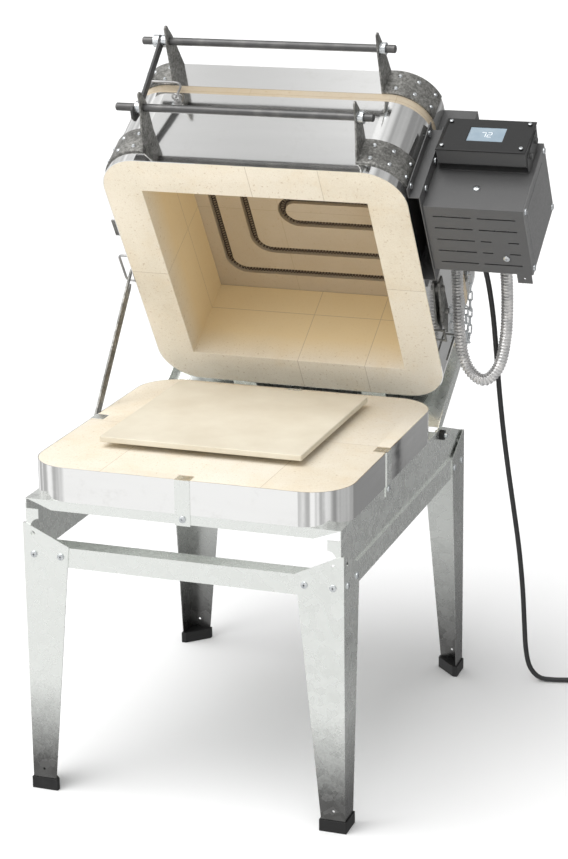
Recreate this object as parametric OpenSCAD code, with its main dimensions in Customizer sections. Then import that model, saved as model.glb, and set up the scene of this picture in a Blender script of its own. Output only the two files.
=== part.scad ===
// Bead annealing kiln on a sheet steel stand, chamber tipped open on its rear hinge.
// X runs to the user's right, Y to the rear and Z up. Pieces are drawn from the floor
// under the middle of the stand, then moved so the origin is under the whole object.

/* [Kiln body] */
// Outer width of the polished jackets
kiln_w = 480; // [460:1:500]
// Outer depth of the polished jackets
kiln_d = 482; // [460:1:500]
// Outer radius of the upright corners
corner_r = 64; // [50:1:75]
// Thickness of the firebrick walls
brick_wall = 62; // [55:1:70]
// Thickness of the jacket sheet
jacket_t = 1; // [0.8:0.1:1.4]
// Height of the firebrick base
base_h = 50.8; // [40:0.2:64]
// Height of the chamber walls
chamber_h = 154; // [145:1:170]
// Height of the lid jacket
lid_jacket_h = 51; // [45:1:60]
// Height of bare brick below the lid jacket
lid_lip_h = 16; // [12:1:20]

/* [Opening] */
// Angle of the open chamber to the base
open_angle = 57.4; // [45:0.2:60]
// Height of the hinge pin below the chamber's lower face
pin_drop = 60; // [57:1:64]
// Distance of the hinge pin behind the jackets
pin_set_back = 17; // [16:0.5:19]
// Radius of the chamber hinge pins
pin_r = 4; // [3:0.5:5]
// Clear height between the closed chamber and the base
seat_gap = 0.5; // [0.4:0.1:1]

/* [Stand] */
// Width over the legs
stand_w = 486; // [484:1:510]
// Depth over the legs
stand_d = 628; // [610:1:660]
// Height of the leg corners
leg_h = 416; // [400:1:430]
// Height at which the slanting leg tops meet the inner edges
shoulder_h = 385; // [370:1:390]
// Width of each leg flange at the shoulder
leg_top_w = 71; // [60:1:80]
// Width of each leg flange at the floor
leg_foot_w = 35; // [30:1:45]
// Thickness of the galvanised sheet
sheet = 1.5; // [1.2:0.1:2]
// Height of the platform that the base stands on
platform_h = 453; // [440:1:465]
// Height of the cross rails
rail_h = 30; // [24:1:34]
// Depth of the rail flanges
rail_flange = 30; // [20:1:40]
// Height of the platform's front lip
lip_h = 15; // [12:1:18]
// Height of the plastic foot caps
cap_h = 18; // [14:1:24]

/* [Shelf] */
// Side of the square kiln shelf
shelf_w = 312; // [280:1:330]
// Thickness of the kiln shelf
shelf_t = 9; // [6:0.5:14]
// Height of the shelf posts
post_h = 9; // [6:0.5:16]

/* [Handles] */
// Radius of the handle rods
rod_r = 6; // [5:0.5:7]
// Length of the handle rods
rod_len = 402; // [390:1:420]
// Distance of each bracket from the middle
bracket_x = 166; // [150:1:172]
// Thickness of the bracket plate
bracket_t = 2.5; // [2:0.1:3]
// Height of the bracket plates on the jackets
bracket_h = 51; // [44:1:51]
// Distance of the lid rod in front of the jacket
lid_rod_out = 65; // [58:1:75]
// Distance of the chamber rod in front of the jacket
chamber_rod_out = 52; // [46:1:60]
// Distance from each rod to its bracket's tip
tip_out = 28; // [22:1:32]

/* [Prop] */
// Distance of the prop pivot in front of the chamber hinge
prop_lead = 249; // [245:1:255]
// Width of the prop bar
prop_w = 16; // [12:1:18]
// Thickness of the prop bar
prop_t = 3; // [2.5:0.5:4]
// Length of the prop bar from its pivot
prop_len = 312; // [306:1:320]
// Radius of the wire loop that holds the prop
loop_wire_r = 2; // [1.5:0.25:2.5]
// Length of the wire loop
loop_len = 55; // [50:1:60]
// Distance the wire loop stands off the jacket
loop_out = 22; // [20:1:26]

/* [Lid heating] */
// Width of the element groove
groove_w = 13; // [12:0.5:15]
// Depth of the element groove
groove_depth = 12.5; // [12:0.5:15]
// Spacing of the outer groove runs from the middle
outer_row = 139; // [130:1:145]
// Spacing of the middle groove runs from the middle
middle_row = 89; // [80:1:92]
// Spacing of the inner groove runs from the middle
inner_row = 25; // [20:1:30]
// Radius of the element coil to the middle of its wire
coil_r = 4.4; // [3:0.1:4.6]
// Radius of the element wire
wire_r = 0.9; // [0.7:0.05:1]

/* [Controls] */
// Width of the control box
box_w = 149; // [140:1:160]
// Depth of the control box
box_d = 129; // [120:1:136]
// Height of the control box
box_h = 145; // [135:1:148]
// Thickness of the control box sheet
box_t = 1.2; // [1:0.1:1.6]
// Stand-off between the jacket and the control box
stand_off = 17.5; // [15:0.5:22]
// Width of the display head
head_w = 132; // [120:1:138]
// Height of the display head
head_h = 77; // [70:1:82]
// Depth of the display head
head_d = 32; // [26:1:36]
// Backward lean of the display head
head_lean = 7; // [0:0.5:9]
// Width of the screen
screen_w = 54; // [45:1:60]
// Height of the screen
screen_h = 35; // [28:1:38]
// Width of the lid's terminal box
lid_box_w = 52; // [44:1:56]
// Length of the lid's terminal box
lid_box_len = 205; // [200:1:215]

/* [Conduit and cord] */
// Outer radius of the flexible conduit
conduit_r = 9.6; // [9:0.1:10]
// Number of ribs along the conduit
conduit_ribs = 76; // [40:1:80]
// Radius of the power cord
cord_r = 4; // [3.5:0.1:4.2]

/* [Hidden] */
$fn = 64;
overrun = 1;
running_gap = 0.3;
fit_gap = 0.05;

kiln_back = 170;
kiln_front = kiln_back - kiln_d;
seat_z = platform_h + base_h + seat_gap;
pin_y = kiln_back + pin_set_back;
pin_z = seat_z - pin_drop;
lid_gap = 0.4;
lid_z = chamber_h + lid_gap;
lid_h = lid_lip_h + lid_jacket_h;
lid_jacket_z = lid_z + lid_lip_h;
side_x = kiln_w / 2;
cavity_w = kiln_w - 2 * brick_wall;
cavity_d = kiln_d - 2 * brick_wall;

cap_floor = 3;
leg_x = stand_w / 2;
leg_y = stand_d / 2;
strip_x = leg_x - sheet;
panel_x = strip_x - 3;
pan_set_back = 0.5;
pan_front = kiln_front + pan_set_back;
rail_z = shoulder_h - sheet - rail_h;
strip_z = rail_z + 2;
strip_top = shoulder_h + 3;
bolt_z = rail_z + rail_h / 2 + 1;
bolt_near = 16;
bolt_far = 58;
bolt_r = 2.5;
head_r = 5.2;
head_t = 2.6;
nut_r = 4.6;
nut_t = 4;
hole_r = 3.3;
hole_z = leg_h - 15;
hole_in = 15;

clip_x = 5;
clip_w = 23;
clip_t = 1.2;
clip_tab = 20;
clip_foot = 17;
clip_gap = 0.1;
right_clip_y = -95;

prop_y = pin_y - prop_lead;
clip_hole = 7;
prop_z = platform_h - clip_hole;
prop_x = side_x + 12;
loop_low = 207;
loop_z = 14;

arm_t = 1.5;
arm_gap = 0.5;
arm_x = panel_x - sheet - arm_t - arm_gap;
plate_y = pin_set_back + 1.5;
plate_low = 44;
ear_r = 12;
plate_high = 150;
lid_pin_y = 12;
lid_pin_z = lid_z + 9;
lid_pin_r = 3;
hinge_x = 150;

latch_x = 189;
collar_r = 9.5;
collar_w = 9;
lid_rod_z = lid_jacket_z + lid_jacket_h / 2 + 1;
chamber_rod_z = 60;
chamber_plate_z = 18;
lid_plate_z = lid_jacket_z;
corner_sweep = 74;

off_front = 432;
off_rear = 262;
off_z = 6;
off_lip = 15;
shield_x = side_x + stand_off;
box_x = shield_x + arm_t;
box_rear = 288;
box_front = box_rear + box_d;
box_z = 5;
head_x = box_x + 9;
head_z = box_z + 71;
head_gap = 10;

lid_box_front = 410;
row_mid = kiln_d / 2;
hairpin_x = 128;
inner_x = -10;
middle_x = 95;
outer_x = 149;
corner_bend = 28;

// Route of the conduit: lid terminal box, down beside the chamber, up to the control box
conduit_start = [268, -272, lid_jacket_z - running_gap];
conduit_end = [342, -box_rear, 92];

// Middle of the whole object without its cord, which is moved to the origin
left_reach = side_x + loop_out + loop_wire_r;
right_reach = box_x + box_w + box_t + head_t;
front_reach = leg_y + head_t;
rear_reach = pin_y - pin_set_back * cos(open_angle)
    + (pin_drop + lid_jacket_z + lid_jacket_h) * sin(open_angle);
middle = [(right_reach - left_reach) / 2, (rear_reach - front_reach) / 2, 0];
echo(middle = middle);

module placed() { translate(-middle) children(); }

// Turns chamber pieces, drawn with the chamber's lower rear edge as origin, to the open pose
module on_chamber() {
    translate([0, pin_y, pin_z]) rotate([-open_angle, 0, 0])
        translate([0, -pin_set_back, pin_drop]) children();
}

function to_world(p) =
    let (c = cos(open_angle), s = sin(open_angle), y = p[1] - pin_set_back, z = p[2] + pin_drop)
    [p[0], pin_y + y * c + z * s, pin_z - y * s + z * c];

// Block with four upright round corners, its rear edge on the X axis
module slab(w, d, r, h) {
    translate([r - w / 2, -d, 0]) cube([w - 2 * r, d, h]);
    translate([-w / 2, r - d, 0]) cube([w, d - 2 * r, h]);
    for (x = [r - w / 2, w / 2 - r], y = [-r, r - d]) translate([x, y, 0]) cylinder(r = r, h = h);
}

module jacket(h) {
    difference() {
        slab(kiln_w, kiln_d, corner_r, h);
        translate([0, -jacket_t, -overrun])
            slab(kiln_w - 2 * jacket_t, kiln_d - 2 * jacket_t, corner_r - jacket_t, h + 2 * overrun);
    }
}

module brick_slab(h) {
    translate([0, -jacket_t, 0])
        slab(kiln_w - 2 * jacket_t, kiln_d - 2 * jacket_t, corner_r - jacket_t, h);
}

module along_x(r, len) {
    rotate([0, 90, 0]) cylinder(r = r, h = len);
}

// Plate cut from an outline in Y and Z, its thickness running along X
module side_plate(outline, t) {
    rotate([90, 0, 90]) linear_extrude(t) polygon(outline);
}

// Plate cut from an outline in X and Z, its thickness running towards the rear
module front_plate(outline, t) {
    translate([0, t, 0]) rotate([90, 0, 0]) linear_extrude(t) polygon(outline);
}

module pan_head_screw(len) {
    translate([0, 0, -len]) cylinder(r = bolt_r, h = len);
    pan_head();
}

module pan_head() {
    cylinder(r = head_r, h = head_t * 0.6);
    translate([0, 0, head_t * 0.6]) cylinder(r1 = head_r, r2 = head_r * 0.6, h = head_t * 0.4, $fn = 24);
}

/* Unit vectors, smooth paths and swept tubes */
function unit(v) = v / norm(v);
function last(v) = v[len(v) - 1];

function spline_point(p, i, t) =
    let (a = p[max(i - 1, 0)], b = p[i], c = p[i + 1], d = p[min(i + 2, len(p) - 1)])
    0.5 * (2 * b + (c - a) * t + (2 * a - 5 * b + 4 * c - d) * t * t
        + (3 * b - a - 3 * c + d) * t * t * t);

function smooth(p, steps) = concat(
    [for (i = [0 : len(p) - 2], k = [0 : steps - 1]) spline_point(p, i, k / steps)], [last(p)]);

function run_lengths(p) =
    [for (i = 0, s = 0; i < len(p); s = s + norm(p[min(i + 1, len(p) - 1)] - p[i]), i = i + 1) s];

// The same path with n + 1 points at equal steps
function even_path(p, n) =
    let (s = run_lengths(p), total = last(s))
    let (tables = [for (k = [0 : 2]) [for (i = [0 : len(p) - 1]) [s[i], p[i][k]]]])
    [for (q = [0 : n]) [for (k = [0 : 2]) lookup(total * q / n, tables[k])]];

function headings(p) =
    [for (i = [0 : len(p) - 1]) unit(p[min(i + 1, len(p) - 1)] - p[max(i - 1, 0)])];

function carried_sides(t, start) =
    [for (i = 0, n = unit(start - (start * t[0]) * t[0]); i < len(t);
        i = i + 1, n = i < len(t) ? unit(n - (n * t[i]) * t[i]) : n) n];

function ring_points(p, radii, sides, start) =
    let (t = headings(p), n = carried_sides(t, start))
    [for (i = [0 : len(p) - 1], k = [0 : sides - 1])
        let (a = 360 * k / sides, b = cross(t[i], n[i]))
        p[i] + radii[i] * (cos(a) * n[i] + sin(a) * b)];

function wall_faces(rings, sides, first, inward) =
    [for (i = [0 : rings - 2], k = [0 : sides - 1], half = [0, 1])
        let (m = (k + 1) % sides, a = first + i * sides + k, b = first + i * sides + m)
        let (c = a + sides, d = b + sides)
        let (f = half == 0 ? [c, b, a] : [c, d, b])
        inward ? [f[2], f[1], f[0]] : f];

function fan(sides, first, forward) =
    [for (k = [1 : sides - 2])
        forward ? [first + k + 1, first + k, first] : [first, first + k, first + k + 1]];

// Solid tube along a path, one ring of points for each path point
module tube(p, radii, sides, start) {
    polyhedron(
        points = ring_points(p, radii, sides, start),
        faces = concat(
            wall_faces(len(p), sides, 0, false),
            fan(sides, 0, false),
            fan(sides, (len(p) - 1) * sides, true)));
}

// Tube with a bore: the bore follows the same path with fewer rings
module bored_tube(p, radii, bore_r, bore_step, sides, start) {
    inner = [for (i = [0 : bore_step : len(p) - 1]) i];
    outer_points = ring_points(p, radii, sides, start);
    bore_points = ring_points(p, [for (q = p) bore_r], sides, start);
    kept = [for (i = inner, k = [0 : sides - 1]) bore_points[i * sides + k]];
    base = len(outer_points);
    top = (len(p) - 1) * sides;
    bore_top = base + (len(inner) - 1) * sides;
    polyhedron(
        points = concat(outer_points, kept),
        faces = concat(
            wall_faces(len(p), sides, 0, false),
            wall_faces(len(inner), sides, base, true),
            [for (k = [0 : sides - 1]) let (m = (k + 1) % sides) [k, m, base + k]],
            [for (k = [0 : sides - 1]) let (m = (k + 1) % sides) [m, base + m, base + k]],
            [for (k = [0 : sides - 1]) let (m = (k + 1) % sides) [bore_top + k, top + m, top + k]],
            [for (k = [0 : sides - 1]) let (m = (k + 1) % sides)
                [bore_top + k, bore_top + m, top + m]]));
}

// Stand
module leg(sx, sy) {
    outline = [[0, cap_floor], [leg_foot_w, cap_floor], [leg_top_w, shoulder_h],
        [5, leg_h], [0, leg_h]];
    color([0.78, 0.8, 0.82]) at_leg_corner(sx, sy) difference() {
        union() {
            front_plate(outline, sheet);
            rotate([0, 0, 90]) mirror([0, 1, 0]) front_plate(outline, sheet);
        }
        for (d = [bolt_near, bolt_far]) {
            translate([d, -overrun, bolt_z]) rotate([-90, 0, 0]) cylinder(r = bolt_r + fit_gap, h = 5);
            translate([-overrun, d, bolt_z]) along_x(bolt_r + fit_gap, 5);
        }
        translate([hole_in, -overrun, hole_z]) rotate([-90, 0, 0]) cylinder(r = hole_r, h = 5);
        translate([-overrun, hole_in, hole_z]) along_x(hole_r, 5);
        translate([leg_foot_w / 2, -overrun, cap_h + 14]) rotate([-90, 0, 0]) cylinder(r = 2, h = 5);
    }
}

// Places a corner drawn with its outer edge on the Z axis at one of the four leg corners
module at_leg_corner(sx, sy) {
    mirror([sx > 0 ? 1 : 0, 0, 0]) mirror([0, sy > 0 ? 1 : 0, 0])
        translate([-leg_x, -leg_y, 0]) children();
}

module leg_front_left() { leg(-1, -1); }
module leg_front_right() { leg(1, -1); }
module leg_rear_left() { leg(-1, 1); }
module leg_rear_right() { leg(1, 1); }

module foot_caps() {
    wrap = 2;
    reach = leg_foot_w + 2 * wrap;
    color([0.08, 0.08, 0.08]) for (sx = [-1, 1], sy = [-1, 1]) at_leg_corner(sx, sy)
        difference() {
            linear_extrude(cap_h) polygon([[-wrap, -wrap], [reach, -wrap], [reach, 3 * wrap],
                [3 * wrap, reach], [-wrap, reach]]);
            translate([0, 0, cap_floor]) cube([reach - wrap, sheet, cap_h]);
            translate([0, 0, cap_floor]) cube([sheet, reach - wrap, cap_h]);
        }
}

module rail() {
    half = strip_x - sheet;
    color([0.78, 0.8, 0.82]) difference() {
        union() {
            translate([-half, 0, rail_z]) cube([2 * half, sheet, rail_h]);
            translate([-half, 0, rail_z + rail_h - sheet]) cube([2 * half, rail_flange, sheet]);
            translate([-half, 0, rail_z]) cube([2 * half, rail_flange / 3, sheet]);
        }
        for (sx = [-1, 1], d = [bolt_near, bolt_far]) translate([sx * (leg_x - d), -overrun, bolt_z])
            rotate([-90, 0, 0]) cylinder(r = bolt_r + fit_gap, h = 5);
    }
}

module front_rail() { translate([0, sheet - leg_y, 0]) rail(); }
module rear_rail() { mirror([0, 1, 0]) front_rail(); }

module platform() {
    slope_y = pin_y + 14;
    half_y = leg_y - sheet;
    color([0.8, 0.82, 0.84]) {
        translate([-panel_x, pan_front, platform_h - sheet])
            cube([2 * panel_x, kiln_back - pan_front, sheet]);
        difference() {
            union() {
                translate([0, pan_front, 0]) front_plate([[40 - panel_x, platform_h - lip_h],
                    [panel_x - 40, platform_h - lip_h], [panel_x, platform_h], [-panel_x, platform_h]],
                    sheet);
                translate([40 - panel_x, kiln_back - sheet, platform_h - lip_h])
                    cube([2 * (panel_x - 40), sheet, lip_h]);
            }
            translate([clip_x, -leg_y, prop_z]) rotate([-90, 0, 0]) cylinder(r = bolt_r + fit_gap, h = stand_d);
        }
        for (side = [0, 1]) mirror([side, 0, 0]) {
            difference() {
                translate([panel_x - sheet, 0, 0]) side_plate([[-half_y, strip_top], [half_y, strip_top],
                    [half_y, leg_h], [slope_y, platform_h], [pan_front, platform_h],
                    [-half_y, platform_h - lip_h]], sheet);
                translate([panel_x - 5, pin_y, pin_z]) along_x(pin_r + fit_gap, 10);
                translate([panel_x - 5, side == 0 ? right_clip_y : prop_y, prop_z])
                    along_x(bolt_r + fit_gap, 10);
            }
            translate([panel_x - sheet, -half_y, strip_top - sheet])
                cube([strip_x - panel_x + sheet, 2 * half_y, sheet]);
            difference() {
                translate([strip_x - sheet, -half_y, strip_z])
                    cube([sheet, 2 * half_y, strip_top - strip_z]);
                for (sy = [-1, 1], d = [bolt_near, bolt_far])
                    translate([strip_x - 5, sy * (leg_y - d), bolt_z]) along_x(bolt_r + fit_gap, 10);
            }
            difference() {
                translate([panel_x - 20, -half_y, strip_top]) cube([20 - sheet, sheet, platform_h - lip_h - strip_top]);
                translate([panel_x - 20, -half_y - overrun, strip_top + 22]) rotate([-90, 0, 0])
                    cylinder(r = 13, h = 5);
            }
        }
    }
}

module nut() { cylinder(r = nut_r, h = nut_t, $fn = 6); }

module stand_screws() {
    grip = 2 * sheet;
    color([0.75, 0.77, 0.78]) {
        for (sx = [-1, 1], sy = [-1, 1]) at_leg_corner(sx, sy) for (d = [bolt_near, bolt_far]) {
            translate([d, 0, bolt_z]) rotate([90, 0, 0]) pan_head_screw(grip + nut_t + 2);
            translate([d, grip, bolt_z]) rotate([-90, 0, 0]) nut();
            translate([0, d, bolt_z]) rotate([0, -90, 0]) pan_head_screw(grip + nut_t + 2);
            translate([grip, d, bolt_z]) rotate([0, 90, 0]) nut();
        }
        translate([clip_x, pan_front - clip_t, platform_h - clip_hole]) rotate([90, 0, 0])
            pan_head_screw(clip_t + sheet + 5);
        translate([clip_x, kiln_back + clip_t, platform_h - clip_hole]) rotate([-90, 0, 0])
            pan_head_screw(clip_t + sheet + 5);
        translate([panel_x + clip_t, right_clip_y, platform_h - clip_hole]) rotate([0, 90, 0])
            pan_head_screw(clip_t + sheet + 5);
    }
}

module hinge_bushes() {
    color([0.1, 0.1, 0.1]) for (side = [0, 1]) mirror([side, 0, 0])
        translate([panel_x, pin_y, pin_z]) difference() {
            along_x(pin_r + 4, 7);
            translate([-overrun, 0, 0]) along_x(pin_r + fit_gap, 10);
        }
}

module base_brick() {
    color([0.93, 0.89, 0.8]) difference() {
        translate([0, kiln_back, platform_h]) brick_slab(base_h);
        clip_seats();
    }
}

module base_jacket() {
    color([0.82, 0.83, 0.84]) difference() {
        translate([0, kiln_back, platform_h]) jacket(base_h);
        clip_seats();
    }
}

// Places children at the four strap clips, given each panel's set back for the two sides in $step
module at_clips() {
    translate([clip_x, kiln_front, platform_h]) {
        $step = pan_front - kiln_front;
        children();
    }
    translate([clip_x, kiln_back, platform_h]) rotate([0, 0, 180]) {
        $step = 0;
        children();
    }
    for (side = [0, 1]) mirror([side, 0, 0])
        translate([side_x, side == 0 ? right_clip_y : prop_y, platform_h]) rotate([0, 0, 90]) {
            $step = side_x - panel_x;
            children();
        }
}

// Pockets that let the clips' tabs lie flush with the top of the base
module clip_seats() {
    at_clips() translate([-clip_w / 2 - clip_gap, -1, base_h - clip_t - clip_gap])
        cube([clip_w + 2 * clip_gap, clip_tab + 1 + clip_gap, clip_t + 1]);
}

// Strap clip on a face at Y = 0 whose base stands above Z = 0; the panel below lies back by $step
module strap_clip() {
    step = $step;
    difference() {
        union() {
            translate([-clip_w / 2, -clip_t, -clip_t]) cube([clip_w, clip_t, base_h + clip_t]);
            translate([-clip_w / 2, -clip_t, base_h - clip_t]) cube([clip_w, clip_tab + clip_t, clip_t]);
            translate([-clip_w / 2, -clip_t, -clip_t]) cube([clip_w, step + clip_t, clip_t]);
            translate([-clip_w / 2, step - clip_t, -clip_foot]) cube([clip_w, clip_t, clip_foot]);
        }
        translate([0, step + overrun, -clip_hole]) rotate([90, 0, 0])
            cylinder(r = bolt_r + fit_gap, h = 5);
    }
}

module base_clips() {
    color([0.8, 0.82, 0.83]) at_clips() strap_clip();
}

module kiln_shelf() {
    shelf_y = kiln_back - brick_wall - 5 - shelf_w;
    color([0.85, 0.8, 0.68]) translate([shelf_x - shelf_w / 2, shelf_y, platform_h + base_h + post_h])
        cube([shelf_w, shelf_w, shelf_t]);
}

shelf_x = -10;

module shelf_posts() {
    inset = 40;
    rear = kiln_back - brick_wall - 5;
    color([0.9, 0.86, 0.76]) for (x = [inset, shelf_w - inset], y = [inset, shelf_w - inset])
        translate([shelf_x - shelf_w / 2 + x, rear - y, platform_h + base_h]) cylinder(r = 12, h = post_h);
}

// Prop bar and its pivot on the left of the platform
prop_rest_gap = 0.5;
loop_at = to_world([0, -loop_low, loop_z]);
loop_reach = norm([loop_at[1] - prop_y, loop_at[2] - prop_z]);
prop_swing = atan2(loop_at[1] - prop_y, loop_at[2] - prop_z)
    - asin((prop_w / 2 + loop_wire_r + prop_rest_gap) / loop_reach);
echo(prop_swing = prop_swing, loop_reach = loop_reach);

module prop_pivot() {
    inner = panel_x + clip_t;
    outer = prop_x - prop_t / 2 - running_gap;
    color([0.7, 0.71, 0.72]) mirror([1, 0, 0]) translate([0, prop_y, prop_z]) {
        translate([panel_x - sheet - nut_t, 0, 0]) along_x(bolt_r, prop_x + prop_t + 1 - panel_x + nut_t + sheet);
        translate([panel_x - sheet - nut_t, 0, 0]) rotate([0, 90, 0]) nut();
        translate([inner, 0, 0]) along_x(clip_hole - clip_t - 0.5, outer - inner);
        translate([prop_x + prop_t / 2 + running_gap, 0, 0]) along_x(head_r + 1.5, 3);
    }
}

module prop_bar() {
    half = prop_w / 2;
    fork = loop_reach - 9;
    color([0.35, 0.34, 0.32]) translate([-prop_x - prop_t / 2, prop_y, prop_z]) rotate([-prop_swing, 0, 0])
        difference() {
            union() {
                side_plate([[-half, 0], [half, 0], [half, fork - 6], [half - 3, fork], [half - 5, fork - 2],
                    [half - 6, fork - 11], [0, fork - 13], [-1.5, fork - 6], [-1, prop_len - 8],
                    [1, prop_len - 2], [-1, prop_len], [-half + 1, prop_len - 6], [-half, fork - 14]], prop_t);
                along_x(half, prop_t);
            }
            translate([-overrun, 0, 0]) along_x(bolt_r + fit_gap, prop_t + 2 * overrun);
        }
}

// Chamber, drawn closed with its lower rear edge as origin
module chamber_brick() {
    color([0.93, 0.87, 0.75]) on_chamber() difference() {
        brick_slab(chamber_h);
        translate([-cavity_w / 2, brick_wall - kiln_d, -overrun])
            cube([cavity_w, cavity_d, chamber_h + 2 * overrun]);
        translate([cavity_w / 2 - overrun, -probe_y, probe_z]) along_x(probe_r + fit_gap, brick_wall + 2 * overrun);
    }
}

probe_y = 350;
probe_z = 105;
probe_r = 4;

module chamber_jacket() {
    color([0.72, 0.73, 0.75]) on_chamber() {
        difference() {
            jacket(chamber_h);
            translate([side_x - 5, -probe_y, probe_z]) along_x(probe_r + fit_gap, 10);
        }
    }
}

module back_plate() {
    wide = arm_x + arm_t;
    rib_w = 40;
    color([0.76, 0.77, 0.78]) on_chamber() {
        translate([-wide, plate_y, -plate_low]) cube([2 * wide, arm_t, plate_low + plate_high]);
        for (side = [0, 1]) mirror([side, 0, 0]) {
            difference() {
                union() {
                    translate([arm_x, 0, 0]) side_plate([[2, plate_high], [2, -40],
                        [pin_set_back - ear_r + 1, -pin_drop + 4], [pin_set_back + ear_r - 1, -pin_drop + 4],
                        [plate_y + arm_t, -plate_low], [plate_y + arm_t, plate_high]], arm_t);
                    translate([arm_x, pin_set_back, -pin_drop]) along_x(ear_r, arm_t);
                }
                translate([arm_x - overrun, pin_set_back, -pin_drop]) along_x(pin_r, arm_t + 2 * overrun);
            }
            translate([90, 0, 12]) cube([rib_w, plate_y, chamber_h - 24]);
            lid_hinge_ear();
        }
    }
}

// Upright ear on the back plate that carries one lid hinge pin
module lid_hinge_ear() {
    difference() {
        union() {
            translate([hinge_x, 0, 0]) side_plate([[lid_pin_y - 7, lid_pin_z], [lid_pin_y + 7, lid_pin_z],
                [plate_y + arm_t, plate_high - 12], [plate_y, plate_high - 40], [lid_pin_y, plate_high - 12]], 2.5);
            translate([hinge_x, lid_pin_y, lid_pin_z]) along_x(7, 2.5);
        }
        translate([hinge_x - overrun, lid_pin_y, lid_pin_z]) along_x(lid_pin_r + fit_gap, 5);
    }
}

module hinge_pins() {
    color([0.7, 0.66, 0.55]) on_chamber() for (side = [0, 1]) mirror([side, 0, 0])
        translate([arm_x - 4, pin_set_back, -pin_drop]) {
            along_x(pin_r, panel_x + 16 - arm_x);
            along_x(pin_r + 3, 4);
        }
}

// Handle bracket with its corner plate, for the right of a jacket face at Y = -kiln_d
module handle_bracket(plate_z, rod_z, rod_out) {
    tip = rod_out + tip_out;
    wing = corner_r + bracket_t;
    front = -kiln_d;
    difference() {
        union() {
            translate([bracket_x, front, 0]) side_plate([[0, plate_z], [0, plate_z + bracket_h],
                [-rod_out, rod_z + 13], [4 - tip, rod_z + 5], [4 - tip, rod_z - 5], [-rod_out, rod_z - 13]],
                bracket_t);
            translate([bracket_x, front - tip + 4, rod_z]) along_x(5, bracket_t);
            translate([bracket_x, front - bracket_t, plate_z])
                cube([side_x - corner_r - bracket_x, bracket_t, bracket_h]);
            translate([side_x - corner_r, corner_r - kiln_d, plate_z]) rotate([0, 0, -90])
                rotate_extrude(angle = corner_sweep) translate([corner_r, 0]) square([bracket_t, bracket_h]);
        }
        translate([bracket_x - overrun, front - rod_out, rod_z]) along_x(rod_r, bracket_t + 2 * overrun);
    }
}

module bracket_pair(plate_z, rod_z, rod_out) {
    for (side = [0, 1]) mirror([side, 0, 0]) handle_bracket(plate_z, rod_z, rod_out);
}

module rivet_rows(plate_z) {
    reach = corner_r + bracket_t;
    for (side = [0, 1]) mirror([side, 0, 0]) for (z = [12, bracket_h - 12], a = [8, 34, 62])
        translate([side_x - corner_r, corner_r - kiln_d, plate_z + z]) rotate([0, 0, a - 90])
            translate([reach, 0, 0]) rotate([0, 90, 0]) cylinder(r1 = 3.4, r2 = 2, h = 1.8, $fn = 24);
}

module chamber_brackets() {
    color([0.42, 0.41, 0.38]) on_chamber() bracket_pair(chamber_plate_z, chamber_rod_z, chamber_rod_out);
}

module handle_rod(rod_z, rod_out) {
    translate([-rod_left, -kiln_d - rod_out, rod_z]) along_x(rod_r, rod_len);
}

rod_left = 210;

module collar(x, rod_z, rod_out) {
    translate([x, -kiln_d - rod_out, rod_z]) difference() {
        along_x(collar_r, collar_w);
        translate([-overrun, 0, 0]) along_x(rod_r, collar_w + 2 * overrun);
    }
}

module chamber_rod() {
    color([0.32, 0.33, 0.33]) on_chamber() handle_rod(chamber_rod_z, chamber_rod_out);
}

module chamber_collars() {
    color([0.75, 0.78, 0.8]) on_chamber() {
        collar(bracket_x + bracket_t, chamber_rod_z, chamber_rod_out);
        collar(-bracket_x - bracket_t - collar_w, chamber_rod_z, chamber_rod_out);
    }
}

module chamber_rivets() {
    color([0.8, 0.8, 0.8]) on_chamber() {
        rivet_rows(chamber_plate_z);
        for (y = [-off_front - off_lip / 2, off_lip / 2 - off_rear], z = [22, 135])
            translate([side_x + arm_t, y, z]) rotate([0, 90, 0]) pan_head_screw(arm_t);
    }
}

// Wire loop on the left side, its crossbar running front to rear
module prop_loop() {
    bend = 6;
    w = loop_wire_r;
    reach = loop_out - bend;
    color([0.6, 0.57, 0.5]) on_chamber() translate([-side_x, -loop_low, loop_z]) {
        for (end = [0, 1]) translate([0, end * -loop_len, 0]) {
            translate([-reach, 0, 0]) along_x(w, reach);
            translate([-reach, 0, 0]) mirror([0, end, 0]) translate([0, -bend, 0]) rotate([0, 0, 90])
                rotate_extrude(angle = 90) translate([bend, 0]) circle(w);
            translate([-2, 0, 0]) along_x(w + 3, 2);
        }
        translate([-loop_out, -loop_len + bend, 0]) rotate([-90, 0, 0]) cylinder(r = w, h = loop_len - 2 * bend);
    }
}

// Pointed plate, ring and rod on the right side, small tab on the left side
module side_brackets() {
    x = side_x;
    color([0.3, 0.3, 0.3]) on_chamber() {
        translate([x + 3, 0, 0]) side_plate([[-215, 62], [-215, 44], [-150, 26], [-112, 40], [-150, 62]], 3);
        for (y = [-200, -150]) translate([x, y, 50]) along_x(7, 3);
        for (y = [-200, -150]) translate([x, y, 50]) along_x(4.5, 10);
        translate([x, -135, 12]) ring_staple(22);
        translate([x, -88, 58]) along_x(1.5, 9);
        translate([x + 9, -88, 4]) cylinder(r = 1.5, h = 54 + 1.5);
        translate([-x - 20, -330, 22]) cube([20, 32, 2.5]);
        translate([-x - 2.5, -330, 10]) cube([2.5, 32, 14]);
    }
}

module ring_staple(len) {
    for (y = [0, len]) translate([0, y - len / 2, 0]) along_x(1.8, 11);
    translate([11, -len / 2 - 1.8, 0]) rotate([-90, 0, 0]) cylinder(r = 1.8, h = len + 3.6);
}

eye_x = -147;
eye_z = 131;
eye_hole = 4.8;
eye_slack = 0.8;
hook_r = 1.8;
hook_ring = 4.6;
hook_x = -205;
hook_z = lid_jacket_z + 8;
hook_out = 11;
hook_drop = 13;
hook_bend = 14;
hook_pin_r = hook_ring - hook_r - fit_gap;
hook_sink = 5;

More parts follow.
